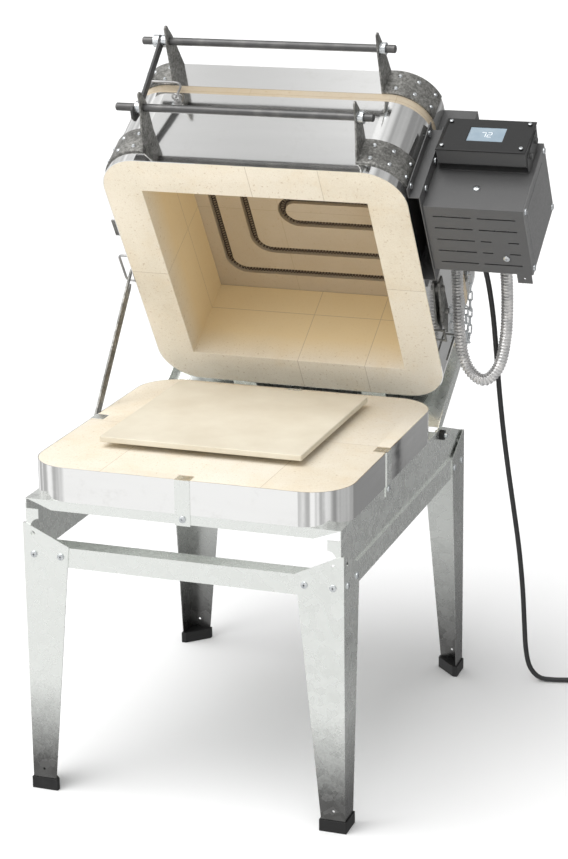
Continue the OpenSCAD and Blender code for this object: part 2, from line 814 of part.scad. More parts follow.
// Screw eye on the front of the chamber; the hook's tip drops through its ring
module latch_eye() {
    color([0.75, 0.72, 0.65]) on_chamber() translate([eye_x, -kiln_d, eye_z]) {
        translate([0, -11, 0]) rotate_extrude() translate([eye_hole + 1.6, 0]) circle(1.6);
        rotate([90, 0, 0]) cylinder(r = 2, h = 6.5);
        rotate([90, 0, 0]) cylinder(r = 6, h = 1.5);
    }
}

// Channel that stands the control box off the hot jacket
module box_stand_off() {
    x = side_x;
    h = chamber_h - 2 * off_z + 4;
    color([0.45, 0.46, 0.47]) on_chamber() difference() {
        union() {
            translate([x + stand_off - arm_t, -off_front, off_z]) cube([arm_t, off_front - off_rear, h]);
            for (y = [-off_front, -off_rear - arm_t]) translate([x, y, off_z]) cube([stand_off, arm_t, h]);
            translate([x, -off_front - off_lip, off_z]) cube([arm_t, off_lip + arm_t, h]);
            translate([x, -off_rear - arm_t, off_z]) cube([arm_t, off_lip + arm_t, h]);
        }
        for (y = [-off_front - off_lip / 2, off_lip / 2 - off_rear], z = [22, 135])
            translate([x - overrun, y, z]) along_x(bolt_r + fit_gap, 5);
        translate([x + stand_off - 5, -probe_y, probe_z]) along_x(probe_r + fit_gap, 10);
    }
}

module heat_shield() {
    color([0.4, 0.41, 0.42]) on_chamber() difference() {
        translate([shield_x, -box_front - 20, box_z - 3]) cube([arm_t, box_d + 20, box_h + 6]);
        translate([shield_x - overrun, -probe_y, probe_z]) along_x(probe_r + fit_gap, 5);
    }
}

slot_h = 2.2;
slot_long = 57;
slot_gap = 9;
slot_rows = 5;

module control_box() {
    t = box_t;
    row_step = box_d / (slot_rows + 0.6);
    margin = (box_w - 2 * slot_long - slot_gap) / 2;
    color([0.25, 0.26, 0.26]) on_chamber() difference() {
        union() {
            difference() {
                translate([box_x, -box_front, box_z]) cube([box_w, box_d, box_h]);
                translate([box_x + t, t - box_front, box_z + t])
                    cube([box_w + overrun, box_d - 2 * t, box_h - 2 * t]);
            }
            translate([box_x + box_w - 24, -box_rear, box_z]) cube([22, 18, 2]);
            translate([box_x + box_w - 24, -box_rear, box_z]) cube([22, 1.5, 16]);
        }
        for (row = [0 : slot_rows - 1], side = [0, 1]) {
            broken = side == 1 && (row == 2 || row == 3);
            for (piece = broken ? [0, 1] : [0])
                translate([box_x + margin + side * (slot_long + slot_gap) + piece * (slot_long - 16),
                    row_step * (row + 0.8) - box_d - box_rear, box_z - overrun])
                    cube([broken ? 16 : slot_long, slot_h, t + 2 * overrun]);
        }
        translate([box_x + box_w - 13, 9 - box_rear, box_z - overrun]) cylinder(r = 2, h = 5);
        translate([box_x - overrun, -probe_y, probe_z]) along_x(probe_r + fit_gap, 5);
        translate(conduit_end - [0, 5, 0]) rotate([-90, 0, 0]) cylinder(r = conduit_r, h = 10);
        translate(relief_at - [0, 5, 0]) rotate([-90, 0, 0]) cylinder(r = relief_r, h = 10);
    }
}

module box_cover() {
    color([0.2, 0.2, 0.2]) on_chamber() {
        translate([box_x + box_w, -box_front, box_z]) cube([box_t, box_d, box_h]);
        translate([box_x + box_w + box_t, 14 - box_front, box_z + 14]) cube([0.8, box_d - 34, box_h - 40]);
    }
}

module box_screws() {
    right = box_x + box_w + box_t;
    color([0.8, 0.82, 0.83]) on_chamber() {
        translate([box_x + 72, -box_front, box_z + 42]) rotate([90, 0, 0]) pan_head();
        translate([box_x + box_w - 35, -box_rear - 32, box_z]) rotate([180, 0, 0]) pan_head();
        for (p = [[8, 8], [box_d - 8, 8], [8, box_h - 8], [box_d - 8, box_h - 8]])
            translate([right, -box_rear - p[0], box_z + p[1]]) rotate([0, 90, 0]) pan_head();
        for (z = [33, 92]) translate([shield_x + arm_t, -box_front - 9, z]) rotate([0, 90, 0]) pan_head();
    }
}

// Display head: leaning about its lower rear edge in front of the control box
module in_head() {
    translate([head_x, -box_front - head_gap, head_z]) rotate([-head_lean, 0, 0]) children();
}

module display_bracket() {
    t = 1.5;
    color([0.12, 0.12, 0.12]) on_chamber() {
        translate([head_x - running_gap - t, -box_front - t, head_z + 8])
            cube([head_w + 2 * (running_gap + t), t, head_h - 24]);
        for (x = [head_x - running_gap - t, head_x + head_w + running_gap])
            translate([x, -box_front, head_z]) difference() {
                side_plate([[0, 8], [0, head_h - 16], [-head_gap - 8, head_h - 6], [-head_gap - 20, head_h - 8],
                    [-head_gap - 20, 12], [-head_gap - 6, 6]], t);
                for (z = [22, head_h - 22]) translate([-overrun, -head_gap - 12, z])
                    along_x(bolt_r + fit_gap, t + 2 * overrun);
            }
        for (side = [0, 1], z = [22, head_h - 22])
            translate([head_x + (side == 1 ? head_w + running_gap : -running_gap), -box_front - head_gap - 12,
                head_z + z]) mirror([1 - side, 0, 0]) {
                translate([-running_gap, 0, 0]) along_x(bolt_r, 4 + running_gap);
                translate([t, 0, 0]) along_x(head_r - 0.6, 4);
            }
    }
}

module display_head() {
    color([0.14, 0.14, 0.14]) on_chamber() in_head() difference() {
        translate([0, -head_d, 0]) cube([head_w, head_d, head_h]);
        translate([2, -head_d - overrun, 2]) cube([head_w - 4, head_d - 2 + overrun, head_h - 4]);
        translate([-overrun, 2, -overrun]) rotate([0, 0, 0])
            side_plate([[0, 0], [0, 14], [-12, 0]], head_w + 2 * overrun);
    }
}

module display_plate() {
    t = 2.5;
    color([0.04, 0.04, 0.04]) on_chamber() in_head() {
        difference() {
            translate([-1, -head_d - t, -1]) cube([head_w + 2, t, head_h + 2]);
            translate([(head_w - screen_w) / 2, -head_d - t - overrun, (head_h - screen_h) / 2 + 3])
                cube([screen_w, t + 2 * overrun, screen_h]);
        }
        for (x = [7, head_w - 7], z = [8, head_h - 8]) translate([x, -head_d - t, z]) rotate([90, 0, 0])
            cylinder(r = 3.2, h = 1.6);
    }
}

module display_screen() {
    color([0.45, 0.52, 0.57]) on_chamber() in_head()
        translate([(head_w - screen_w) / 2, -head_d - 1.2, (head_h - screen_h) / 2 + 3])
            cube([screen_w, 1.2 + 3, screen_h]);
}

// Inner pieces of the control box, all carried on its jacket-side wall
module control_board() {
    color([0.1, 0.35, 0.2]) on_chamber() {
        for (y = [-box_front + 18, -box_front + 50], z = [30, 110])
            translate([box_x + box_t, y, box_z + z]) along_x(3, 10);
        translate([box_x + box_t + 10, -box_front + 12, box_z + 22]) cube([1.6, 44, 96]);
        translate([box_x + box_t + 11.6, -box_front + 24, box_z + 60]) cube([12, 20, 24]);
    }
}

module power_relay() {
    color([0.85, 0.85, 0.8]) on_chamber() {
        translate([box_x + box_t, -box_front + 78, box_z + 20]) cube([26, 44, 58]);
        for (z = [30, 62]) translate([box_x + box_t + 26, -box_front + 92, box_z + z]) along_x(4, 5);
    }
}

module terminal_block() {
    color([0.9, 0.88, 0.8]) on_chamber() {
        translate([box_x + box_t, -box_front + 78, box_z + 92]) cube([16, 44, 22]);
        for (y = [86, 100, 114]) translate([box_x + box_t + 16, -box_front + y, box_z + 103]) along_x(4, 3);
    }
}

module thermocouple() {
    color([0.9, 0.88, 0.82]) on_chamber() translate([cavity_w / 2 - 25, -probe_y, probe_z]) {
        along_x(probe_r, box_x + 14 - cavity_w / 2 + 25);
        translate([box_x - cavity_w / 2 + 25 + box_t, 0, 0]) along_x(9, 10);
    }
}

// Flexible metal conduit
conduit_run = [conduit_start, conduit_start - [0, 0, 14], conduit_start - [0, 0, 28]];
conduit_free = [[263, 188, 745], [259, 205, 700], [259, 212, 650], [262, 212, 600], [274, 210, 554],
    [301, 207, 533], [326, 205, 556], [338, 200, 605], [342, 192, 660], [343, 180, 710]];
conduit_rise = [conduit_end + [0, 26, 0], conduit_end + [0, 13, 0], conduit_end];
conduit_points = concat([for (p = conduit_run) to_world(p)], conduit_free,
    [for (p = conduit_rise) to_world(p)]);
conduit_path = even_path(smooth(conduit_points, 8), 2 * conduit_ribs);
conduit_radii = [for (i = [0 : 2 * conduit_ribs]) i % 2 == 1 ? conduit_r : conduit_r - 1.5];

module flexible_conduit() {
    color([0.62, 0.62, 0.6]) bored_tube(conduit_path, conduit_radii, conduit_r - 3, 4, 8, [1, 0, 0]);
}

// Lid stay chain hanging beside the hinge, from the lid's strap to the chamber's bolt
chain_x = side_x + 12.5;
chain_y = 100;
chain_wire = 1.2;
link_len = 18;
link_w = 9;
link_pitch = link_len - 4 * chain_wire - running_gap;
chain_hook = to_world([chain_x, -chain_y - 7.3, lid_jacket_z - 9.6]);
chain_drops = [[0, 0], [2, -28], [1, -63], [-2, -90], [-10, -101], [-18, -90], [-21, -68], [-22, -46]];
chain_points = [for (d = chain_drops) chain_hook + [0, d[0], d[1]]];
echo(chain_hook = chain_hook);
chain_smooth = smooth(chain_points, 12);
chain_links = floor(last(run_lengths(chain_smooth)) / link_pitch);
chain_path = even_path(chain_smooth, chain_links);

module chain_link() {
    half = (link_len - link_w) / 2;
    for (end = [0, 1]) mirror([0, 0, end]) translate([0, 0, half]) rotate([90, 0, 0])
        rotate_extrude(angle = 180) translate([link_w / 2 - chain_wire, 0]) circle(chain_wire, $fn = 24);
    for (x = [-1, 1]) translate([x * (link_w / 2 - chain_wire), 0, -half])
        cylinder(r = chain_wire, h = 2 * half, $fn = 24);
}

module stay_chain() {
    color([0.75, 0.78, 0.8]) {
        for (i = [0 : chain_links]) {
            t = headings(chain_path)[i];
            translate(chain_path[i]) rotate([atan2(-t[1], t[2]), 0, 0]) rotate([0, 0, 90 * (i % 2)])
                chain_link();
        }
        translate([side_x, 0, 0]) translate([0, last(chain_path)[1], last(chain_path)[2] + 3.5])
            along_x(1.6, chain_x - side_x + 8);
        translate([chain_x + 6, last(chain_path)[1], last(chain_path)[2] + 3.5]) along_x(4, 2);
    }
}

// Power cord
relief_r = 7;
relief_len = 32;
relief_at = [312, -box_rear, 74];
relief_end = relief_at + [0, relief_len, 0];

module strain_relief() {
    color([0.07, 0.07, 0.07]) on_chamber() translate(relief_at) rotate([-90, 0, 0]) {
        translate([0, 0, -4]) cylinder(r = relief_r, h = 4);
        cylinder(r = relief_r + 3, h = 4);
        translate([0, 0, 4]) rotate_extrude() polygon([[0, 0], [relief_r, 0], [cord_r + 1, relief_len - 4],
            [0, relief_len - 4]]);
    }
}

cord_start = [relief_end, relief_end + [0, 12, 0], relief_end + [0, 26, 0]];
cord_free = [[313, 190, 690], [317, 203, 640], [320, 214, 580], [323, 226, 510], [327, 240, 440],
    [332, 256, 370], [338, 272, 300], [344, 286, 230], [349, 294, 160], [352, 297, 100],
    [355, 298, 55], [362, 299, 24], [378, 300, 7], [400, 304, 4.2], [420, 309, 4.2]];
coil_gate = 448;
coil_lift = cord_r + 1.2;
coil_pitch = 2 * cord_r + 0.7;
coil_outer = 50;
coil_turns = 1.35;
coil_total = 2 * coil_turns + 0.5;
coil_centre = [coil_gate + 66, 312 + coil_outer];
cord_finish = [[436, 312, 4.4], [coil_gate, 312, coil_lift]];
cord_points = concat([for (p = cord_start) to_world(p)], cord_free, cord_finish);
cord_steps = 4;
cord_path = even_path(smooth(cord_points, cord_steps), 72);

module power_cord() {
    color([0.08, 0.08, 0.08]) tube(cord_path, [for (p = cord_path) cord_r], 10, [1, 0, 0]);
}

// The coil spirals in on the floor, climbs a layer in half a turn and spirals out again
climb = 2 * cord_r + 0.6;
function coil_radius(turn) = coil_outer - coil_pitch * min(turn, coil_total - turn);
function coil_height(turn) =
    turn < coil_turns ? coil_lift
    : turn < coil_turns + 0.5 ? coil_lift + climb * (0.5 - cos((turn - coil_turns) * 360) / 2)
    : coil_lift + climb;
coil_rings = ceil(coil_total * 24);
coil_loop = [for (i = [0 : coil_rings]) let (turn = coil_total * i / coil_rings, a = 360 * turn - 90)
    [coil_centre[0] + coil_radius(turn) * cos(a), coil_centre[1] + coil_radius(turn) * sin(a),
        coil_height(turn)]];
coil_heading = unit([last(coil_loop)[0] - coil_loop[coil_rings - 1][0],
    last(coil_loop)[1] - coil_loop[coil_rings - 1][1], 0]);
coil_exit = [last(coil_loop) + 12 * coil_heading, last(coil_loop) + 24 * coil_heading];
coil_entry = [for (x = [0, 12, 24, 36, 48]) [coil_gate + x, 312, coil_lift]];
coil_path = concat(coil_entry, coil_loop, coil_exit);

function least_gap(p, apart) =
    min([for (i = [0 : len(p) - 1], j = [i + apart : 1 : len(p) - 1]) norm(p[i] - p[j])]);
coil_gap = least_gap(coil_path, 12) - 2 * cord_r;
echo(coil_gap = coil_gap);

module cord_coil() {
    color([0.08, 0.08, 0.08]) tube(coil_path, [for (p = coil_path) cord_r], 6, [0, 0, 1]);
}

module cord_tie() {
    low = coil_outer - coil_pitch * coil_turns - cord_r - 1.4;
    high = coil_outer + cord_r + 1.4;
    top = coil_lift + climb + cord_r + 0.3;
    color([0.15, 0.15, 0.15]) translate([coil_centre[0], coil_centre[1], 0]) rotate([0, 0, 60])
        difference() {
            translate([low - 1, -5, 0]) cube([high - low + 2, 10, top + 1]);
            translate([low, -5 - overrun, 1]) cube([high - low, 10 + 2 * overrun, top - 1]);
        }
}

plug_angle = atan2(coil_heading[1], coil_heading[0]);

module power_plug() {
    r = coil_lift + climb;
    color([0.08, 0.08, 0.08]) translate(last(coil_exit)) rotate([0, 0, plug_angle]) {
        rotate([0, 90, 0]) rotate_extrude() polygon([[0, 0], [cord_r + 1.5, 0], [cord_r + 2.5, 14],
            [r, 24], [r, 46], [0, 46]]);
        for (y = [-6.35, 6.35]) translate([46, y - 0.8, -3]) cube([18, 1.6, 6.3]);
        translate([46, 0, -7.5]) along_x(2.4, 20);
    }
}

// Lid, drawn closed in the chamber's frame
function arc_points(cx, cy, r, a0, a1, n) =
    [for (i = [0 : n]) let (a = a0 + (a1 - a0) * i / n) [cx + r * cos(a), cy + r * sin(a), 0]];

groove_r1 = (outer_row - middle_row) / 2;
groove_r2 = (middle_row - inner_row) / 2;

coil_end = cavity_w / 2 - 16;

// Middle line of the element groove, from one terminal to the other, about the lid's middle
element_line = concat(
    [[coil_end, -outer_row, 0]],
    arc_points(corner_bend - outer_x, corner_bend - outer_row, corner_bend, 270, 180, 6),
    arc_points(corner_bend - outer_x, outer_row - corner_bend, corner_bend, 180, 90, 6),
    arc_points(hairpin_x, outer_row - groove_r1, groove_r1, 90, -90, 10),
    arc_points(corner_bend - middle_x, middle_row - corner_bend, corner_bend, 90, 180, 6),
    arc_points(corner_bend - middle_x, corner_bend - middle_row, corner_bend, 180, 270, 6),
    arc_points(hairpin_x, groove_r2 - middle_row, groove_r2, -90, 90, 10),
    arc_points(inner_x, 0, inner_row, 270, 90, 10),
    [[coil_end, inner_row, 0]]);

module in_lid() {
    on_chamber() translate([0, 0, lid_z]) children();
}

module groove_run(x0, x1, y) {
    translate([x0, y - groove_w / 2, -overrun]) cube([x1 - x0, groove_w, groove_depth + overrun]);
}

module groove_side(x, y0, y1) {
    translate([x - groove_w / 2, y0, -overrun]) cube([groove_w, y1 - y0, groove_depth + overrun]);
}

module groove_bend(x, y, r, a0, sweep) {
    translate([x, y, -overrun]) rotate([0, 0, a0]) rotate_extrude(angle = sweep)
        translate([r - groove_w / 2, 0]) square([groove_w, groove_depth + overrun]);
}

module element_groove() {
    b = corner_bend;
    groove_end = cavity_w / 2 - 8;
    groove_run(b - outer_x, groove_end, -outer_row);
    groove_run(b - outer_x, hairpin_x, outer_row);
    groove_run(b - middle_x, hairpin_x, middle_row);
    groove_run(b - middle_x, hairpin_x, -middle_row);
    groove_run(inner_x, hairpin_x, -inner_row);
    groove_run(inner_x, groove_end, inner_row);
    groove_side(-outer_x, b - outer_row, outer_row - b);
    groove_side(-middle_x, b - middle_row, middle_row - b);
    groove_bend(b - outer_x, b - outer_row, b, 180, 90);
    groove_bend(b - outer_x, outer_row - b, b, 90, 90);
    groove_bend(b - middle_x, b - middle_row, b, 180, 90);
    groove_bend(b - middle_x, middle_row - b, b, 90, 90);
    groove_bend(hairpin_x, outer_row - groove_r1, groove_r1, -90, 180);
    groove_bend(hairpin_x, groove_r2 - middle_row, groove_r2, -90, 180);
    groove_bend(inner_x, 0, inner_row, 90, 180);
}

coil_z = groove_depth / 2;
lead_r = 1.8;

lead_x = cavity_w / 2 - 14;

module lead_holes(r) {
    for (y = [-outer_row, inner_row]) translate([lead_x, y - row_mid, coil_z]) {
        cylinder(r = r, h = lead_high - coil_z);
        translate([-r, 0, lead_high - coil_z]) along_x(r, 140);
    }
}

module lid_brick() {
    color([0.93, 0.87, 0.75]) in_lid() difference() {
        brick_slab(lid_h);
        translate([0, -row_mid, 0]) element_groove();
        lead_holes(lead_r + running_gap);
    }
}

module lid_jacket() {
    color([0.74, 0.75, 0.77]) in_lid() difference() {
        translate([0, 0, lid_lip_h]) jacket(lid_jacket_h);
        lead_slots();
    }
}

// Room for the element leads where they cross from the brick to the terminal box
module lead_slots() {
    for (y = [-outer_row, inner_row]) translate([side_x - 5, y - row_mid, lead_high]) along_x(lead_r + 1.5, 20);
}

lead_high = lid_lip_h + 14;
element_curls = 50;

module heating_element() {
    run = even_path(element_line, element_curls * 8);
    t = headings(run);
    path = [for (i = [0 : len(run) - 1])
        let (side = [-t[i][1], t[i][0], 0], a = 45 * i, fade = min(1, i / 8, (len(run) - 1 - i) / 8))
        run[i] + fade * coil_r * (cos(a) * side + sin(a) * [0, 0, 1])];
    color([0.3, 0.26, 0.24]) in_lid() translate([0, -row_mid, coil_z])
        tube(path, [for (p = path) wire_r], 6, [0, 0, 1]);
    color([0.6, 0.6, 0.6]) in_lid() for (y = [-outer_row, inner_row])
        translate([lead_x, y - row_mid, coil_z]) {
            translate([-6, 0, 0]) along_x(lead_r, 12);
            cylinder(r = lead_r, h = lead_high - coil_z);
            translate([0, 0, lead_high - coil_z]) along_x(lead_r, side_x - lead_x + 20);
        }
}

module hook_pin_hole() {
    translate([hook_x, hook_sink - kiln_d + 2, hook_z]) rotate([90, 0, 0]) cylinder(r = hook_pin_r, h = 20);
}

module lid_brackets() {
    color([0.42, 0.41, 0.38]) on_chamber() difference() {
        bracket_pair(lid_plate_z, lid_rod_z, lid_rod_out);
        hook_pin_hole();
    }
}

module lid_rod() {
    color([0.32, 0.33, 0.33]) on_chamber() handle_rod(lid_rod_z, lid_rod_out);
}

module lid_collars() {
    left = -bracket_x - bracket_t - collar_w;
    color([0.75, 0.78, 0.8]) on_chamber() {
        collar(bracket_x + bracket_t, lid_rod_z, lid_rod_out);
        collar(left, lid_rod_z, lid_rod_out);
        collar(left - latch_t - 2 * running_gap - collar_w, lid_rod_z, lid_rod_out);
    }
}

latch_t = 4;
latch_gap = 0.7;

module lid_rivets() {
    color([0.8, 0.8, 0.8]) on_chamber() {
        rivet_rows(lid_plate_z);
        for (y = [222, 395]) translate([side_x + lid_box_w, -y, lid_jacket_z + 12]) rotate([0, 90, 0])
            pan_head();
        translate([side_x + 2, -chain_y, lid_jacket_z + 8]) rotate([0, 90, 0]) pan_head();
        translate([hook_x, -kiln_d, hook_z]) rotate([90, 0, 0]) {
            translate([0, 0, -hook_sink]) cylinder(r = hook_pin_r, h = hook_out + hook_r + running_gap + hook_sink);
            translate([0, 0, hook_out + hook_r + running_gap]) cylinder(r = hook_ring + 1, h = 2);
        }
    }
}

// Straps on the rear of the lid that turn on the back plate's ears, and the chain's strap
module lid_hinge_arms() {
    t = 2.5;
    x0 = hinge_x - running_gap - t;
    color([0.5, 0.5, 0.48]) on_chamber() {
        for (side = [0, 1]) mirror([side, 0, 0]) {
            translate([x0 - 26, 0, lid_jacket_z + 4]) cube([26 + t, t, lid_jacket_h - 10]);
            difference() {
                union() {
                    translate([x0, 0, 0]) side_plate([[0, lid_jacket_z + 4], [lid_pin_y - 6, lid_pin_z - 3],
                        [lid_pin_y + 5, lid_pin_z + 4], [t, lid_jacket_z + lid_jacket_h - 12],
                        [0, lid_jacket_z + lid_jacket_h - 12]], t);
                    translate([x0, lid_pin_y, lid_pin_z]) along_x(6.5, t);
                }
            }
            translate([x0, lid_pin_y, lid_pin_z]) along_x(lid_pin_r, t + running_gap + 2.5 + 3);
            translate([hinge_x + 2.5 + running_gap, lid_pin_y, lid_pin_z]) along_x(lid_pin_r + 2, 2.5);
        }
        translate([side_x, -chain_y - 9, lid_jacket_z]) cube([2, 18, 26]);
    }
}

module lid_terminal_box() {
    t = box_t;
    rear = lid_box_front - lid_box_len;
    color([0.25, 0.26, 0.26]) on_chamber() difference() {
        translate([side_x, -lid_box_front, lid_jacket_z]) cube([lid_box_w, lid_box_len, lid_jacket_h]);
        translate([side_x - overrun, t - lid_box_front, lid_jacket_z + t])
            cube([lid_box_w - t + overrun, lid_box_len - 2 * t, lid_jacket_h - 2 * t]);
    }
}

// Flat bar that turns on the lid's rod between two collars and lies behind the chamber's rod
module latch_bar() {
    t = latch_t;
    x = -bracket_x - bracket_t - collar_w - running_gap - t;
    drop = lid_rod_z - chamber_rod_z;
    out = lid_rod_out - chamber_rod_out;
    back = out + rod_r + running_gap;
    toe = norm([out, drop]) + rod_r + latch_gap;
    color([0.13, 0.13, 0.13]) on_chamber() translate([x, -kiln_d - lid_rod_out, lid_rod_z]) difference() {
        union() {
            along_x(collar_r - 0.5, t);
            side_plate([[-7, 0], [7, 0], [back + 7, 34 - drop], [back + 12, -drop], [back + 10, -toe - 6],
                [back, -toe - 11], [6, -toe - 7], [3, -toe], [back, -toe], [back, -drop + 14],
                [back - 6, 38 - drop]], t);
        }
        translate([-overrun, 0, 0]) along_x(rod_r + fit_gap, t + 2 * overrun);
    }
}

// Bent wire hook: a ring on the lid's screw, an arm under the bracket and a tip in the screw eye
module latch_hook() {
    tip_x = eye_x - eye_slack - hook_x;
    low = eye_z - hook_z - 0.8;
    color([0.62, 0.6, 0.55]) on_chamber() translate([hook_x, -kiln_d - hook_out, hook_z]) {
        rotate([90, 0, 0]) rotate_extrude() translate([hook_ring, 0]) circle(hook_r);
        translate([0, 0, -hook_drop]) along_x(hook_r, tip_x - hook_bend);
        translate([0, 0, -hook_drop]) sphere(hook_r);
        translate([0, 0, -hook_drop]) cylinder(r = hook_r, h = hook_drop - hook_ring);
        translate([tip_x - hook_bend, 0, -hook_drop - hook_bend]) rotate([90, 0, 0])
            rotate_extrude(angle = 90) translate([hook_bend, 0]) circle(hook_r);
        translate([tip_x, 0, low]) cylinder(r = hook_r, h = -hook_drop - hook_bend - low);
    }
}

placed() leg_front_left();
placed() leg_front_right();
placed() leg_rear_left();
placed() leg_rear_right();
placed() foot_caps();
placed() front_rail();
placed() rear_rail();
placed() platform();
placed() stand_screws();
placed() hinge_bushes();
placed() base_brick();
placed() base_jacket();
placed() base_clips();
placed() kiln_shelf();
placed() shelf_posts();
placed() prop_pivot();
placed() prop_bar();
placed() chamber_brick();
placed() chamber_jacket();
placed() back_plate();
placed() hinge_pins();
placed() chamber_brackets();
placed() chamber_rod();
placed() chamber_collars();
placed() chamber_rivets();
placed() prop_loop();
placed() side_brackets();
placed() latch_eye();
placed() box_stand_off();
placed() heat_shield();
placed() control_box();
placed() box_cover();
placed() box_screws();
placed() display_bracket();
placed() display_head();
placed() display_plate();
placed() display_screen();
placed() control_board();
placed() power_relay();
placed() terminal_block();
placed() thermocouple();
placed() flexible_conduit();
placed() stay_chain();
placed() strain_relief();
placed() power_cord();
placed() cord_coil();
placed() cord_tie();
placed() power_plug();
placed() lid_brick();
placed() lid_jacket();
placed() heating_element();
placed() lid_brackets();
placed() lid_rod();
placed() lid_collars();
placed() lid_rivets();
placed() lid_hinge_arms();
placed() lid_terminal_box();
placed() latch_bar();
placed() latch_hook();
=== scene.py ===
# Bead annealing kiln: materials, lights, camera and the finer pieces on its solids
import math

import bmesh
import bpy
from mathutils import Matrix, Vector


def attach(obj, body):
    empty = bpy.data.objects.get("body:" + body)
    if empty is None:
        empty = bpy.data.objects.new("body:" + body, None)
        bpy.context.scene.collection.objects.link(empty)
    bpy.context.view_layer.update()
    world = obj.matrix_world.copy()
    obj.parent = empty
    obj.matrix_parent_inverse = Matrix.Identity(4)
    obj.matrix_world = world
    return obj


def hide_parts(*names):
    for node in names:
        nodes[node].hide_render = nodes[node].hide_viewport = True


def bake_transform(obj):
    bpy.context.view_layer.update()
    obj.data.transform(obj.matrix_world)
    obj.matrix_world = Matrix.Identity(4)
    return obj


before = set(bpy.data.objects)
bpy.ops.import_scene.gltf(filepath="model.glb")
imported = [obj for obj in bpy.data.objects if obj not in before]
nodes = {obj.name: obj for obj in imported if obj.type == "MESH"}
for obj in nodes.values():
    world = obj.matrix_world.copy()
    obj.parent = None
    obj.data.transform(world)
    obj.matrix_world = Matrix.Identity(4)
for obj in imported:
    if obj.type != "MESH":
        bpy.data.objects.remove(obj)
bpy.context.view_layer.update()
print("frame loaded:", len(nodes), "nodes")

# ---- places shared by the pieces, in millimetres, as the solids have them
kiln = {
    "middle": (73.9, 49.1535, 0),   # the object's middle in the stand's own frame
    "pinY": 187,
    "pinZ": 444.3,
    "pinBack": 17,
    "pinDrop": 60,
    "openAngle": 57.4,
    "lidBottom": 154.4,
}
mm = 0.001
moveToMiddle = Matrix.Translation(-Vector(kiln["middle"]) * mm)
# stand: X, Y, Z of the stand's own frame; chamber: drawn closed, lower rear edge as origin
standPlace = moveToMiddle
chamberPlace = (
    moveToMiddle
    @ Matrix.Translation(Vector((0, kiln["pinY"], kiln["pinZ"])) * mm)
    @ Matrix.Rotation(math.radians(-kiln["openAngle"]), 4, "X")
    @ Matrix.Translation(Vector((0, -kiln["pinBack"], kiln["pinDrop"])) * mm)
)


def standSpot(x, y, z):
    return standPlace @ (Vector((x, y, z)) * mm)


def chamberSpot(x, forward, z):
    return chamberPlace @ (Vector((x, -forward, z)) * mm)


# ---- camera, fitted to the photograph
camera = {
    "place": (1165.06, -3120.91, 1505.97),
    "yaw": 0.3443,
    "pitch": 0.267,
    "roll": -0.0126,
    "focalPixels": 2288.6,
    "centre": (283.35, 360),
    "size": (568, 859),
}


def makeCamera():
    yaw, pitch, roll = camera["yaw"], camera["pitch"], camera["roll"]
    width, height = camera["size"]
    forward = Vector((
        -math.sin(yaw) * math.cos(pitch), math.cos(yaw) * math.cos(pitch), -math.sin(pitch)))
    right = Vector((math.cos(yaw), math.sin(yaw), 0))
    up = right.cross(forward)
    turnedRight = right * math.cos(roll) + up * math.sin(roll)
    turnedUp = up * math.cos(roll) - right * math.sin(roll)
    lens = bpy.data.cameras.new("kilnCamera")
    lens.sensor_width = 36
    lens.lens = camera["focalPixels"] / height * lens.sensor_width
    lens.shift_x = (width / 2 - camera["centre"][0]) / height
    lens.shift_y = (camera["centre"][1] - height / 2) / height
    lens.clip_end = 50
    holder = bpy.data.objects.new("kilnCamera", lens)
    bpy.context.scene.collection.objects.link(holder)
    turn = Matrix((turnedRight, turnedUp, -forward)).transposed().to_4x4()
    turn.translation = standSpot(*camera["place"])
    holder.matrix_world = turn
    bpy.context.scene.camera = holder
    print("camera made")


makeCamera()


# ---- shader sockets as values, so that masks can be written as sums
class Wire:
    def __init__(self, look, socket):
        self.look, self.socket = look, socket

    def combine(self, operation, first, second):
        return self.look.add(
            "ShaderNodeMath", {"operation": operation}, {0: first, 1: second})["Value"]

    def __add__(self, other):
        return self.combine("ADD", self, other)

    def __sub__(self, other):
        return self.combine("SUBTRACT", self, other)

    def __rsub__(self, other):
        return self.combine("SUBTRACT", other, self)

    def __mul__(self, other):
        return self.combine("MULTIPLY", self, other)

    def __gt__(self, other):
        return self.combine("GREATER_THAN", self, other)

    def __abs__(self):
        return self.combine("ABSOLUTE", self, 0)

    __radd__ = __add__
    __rmul__ = __mul__


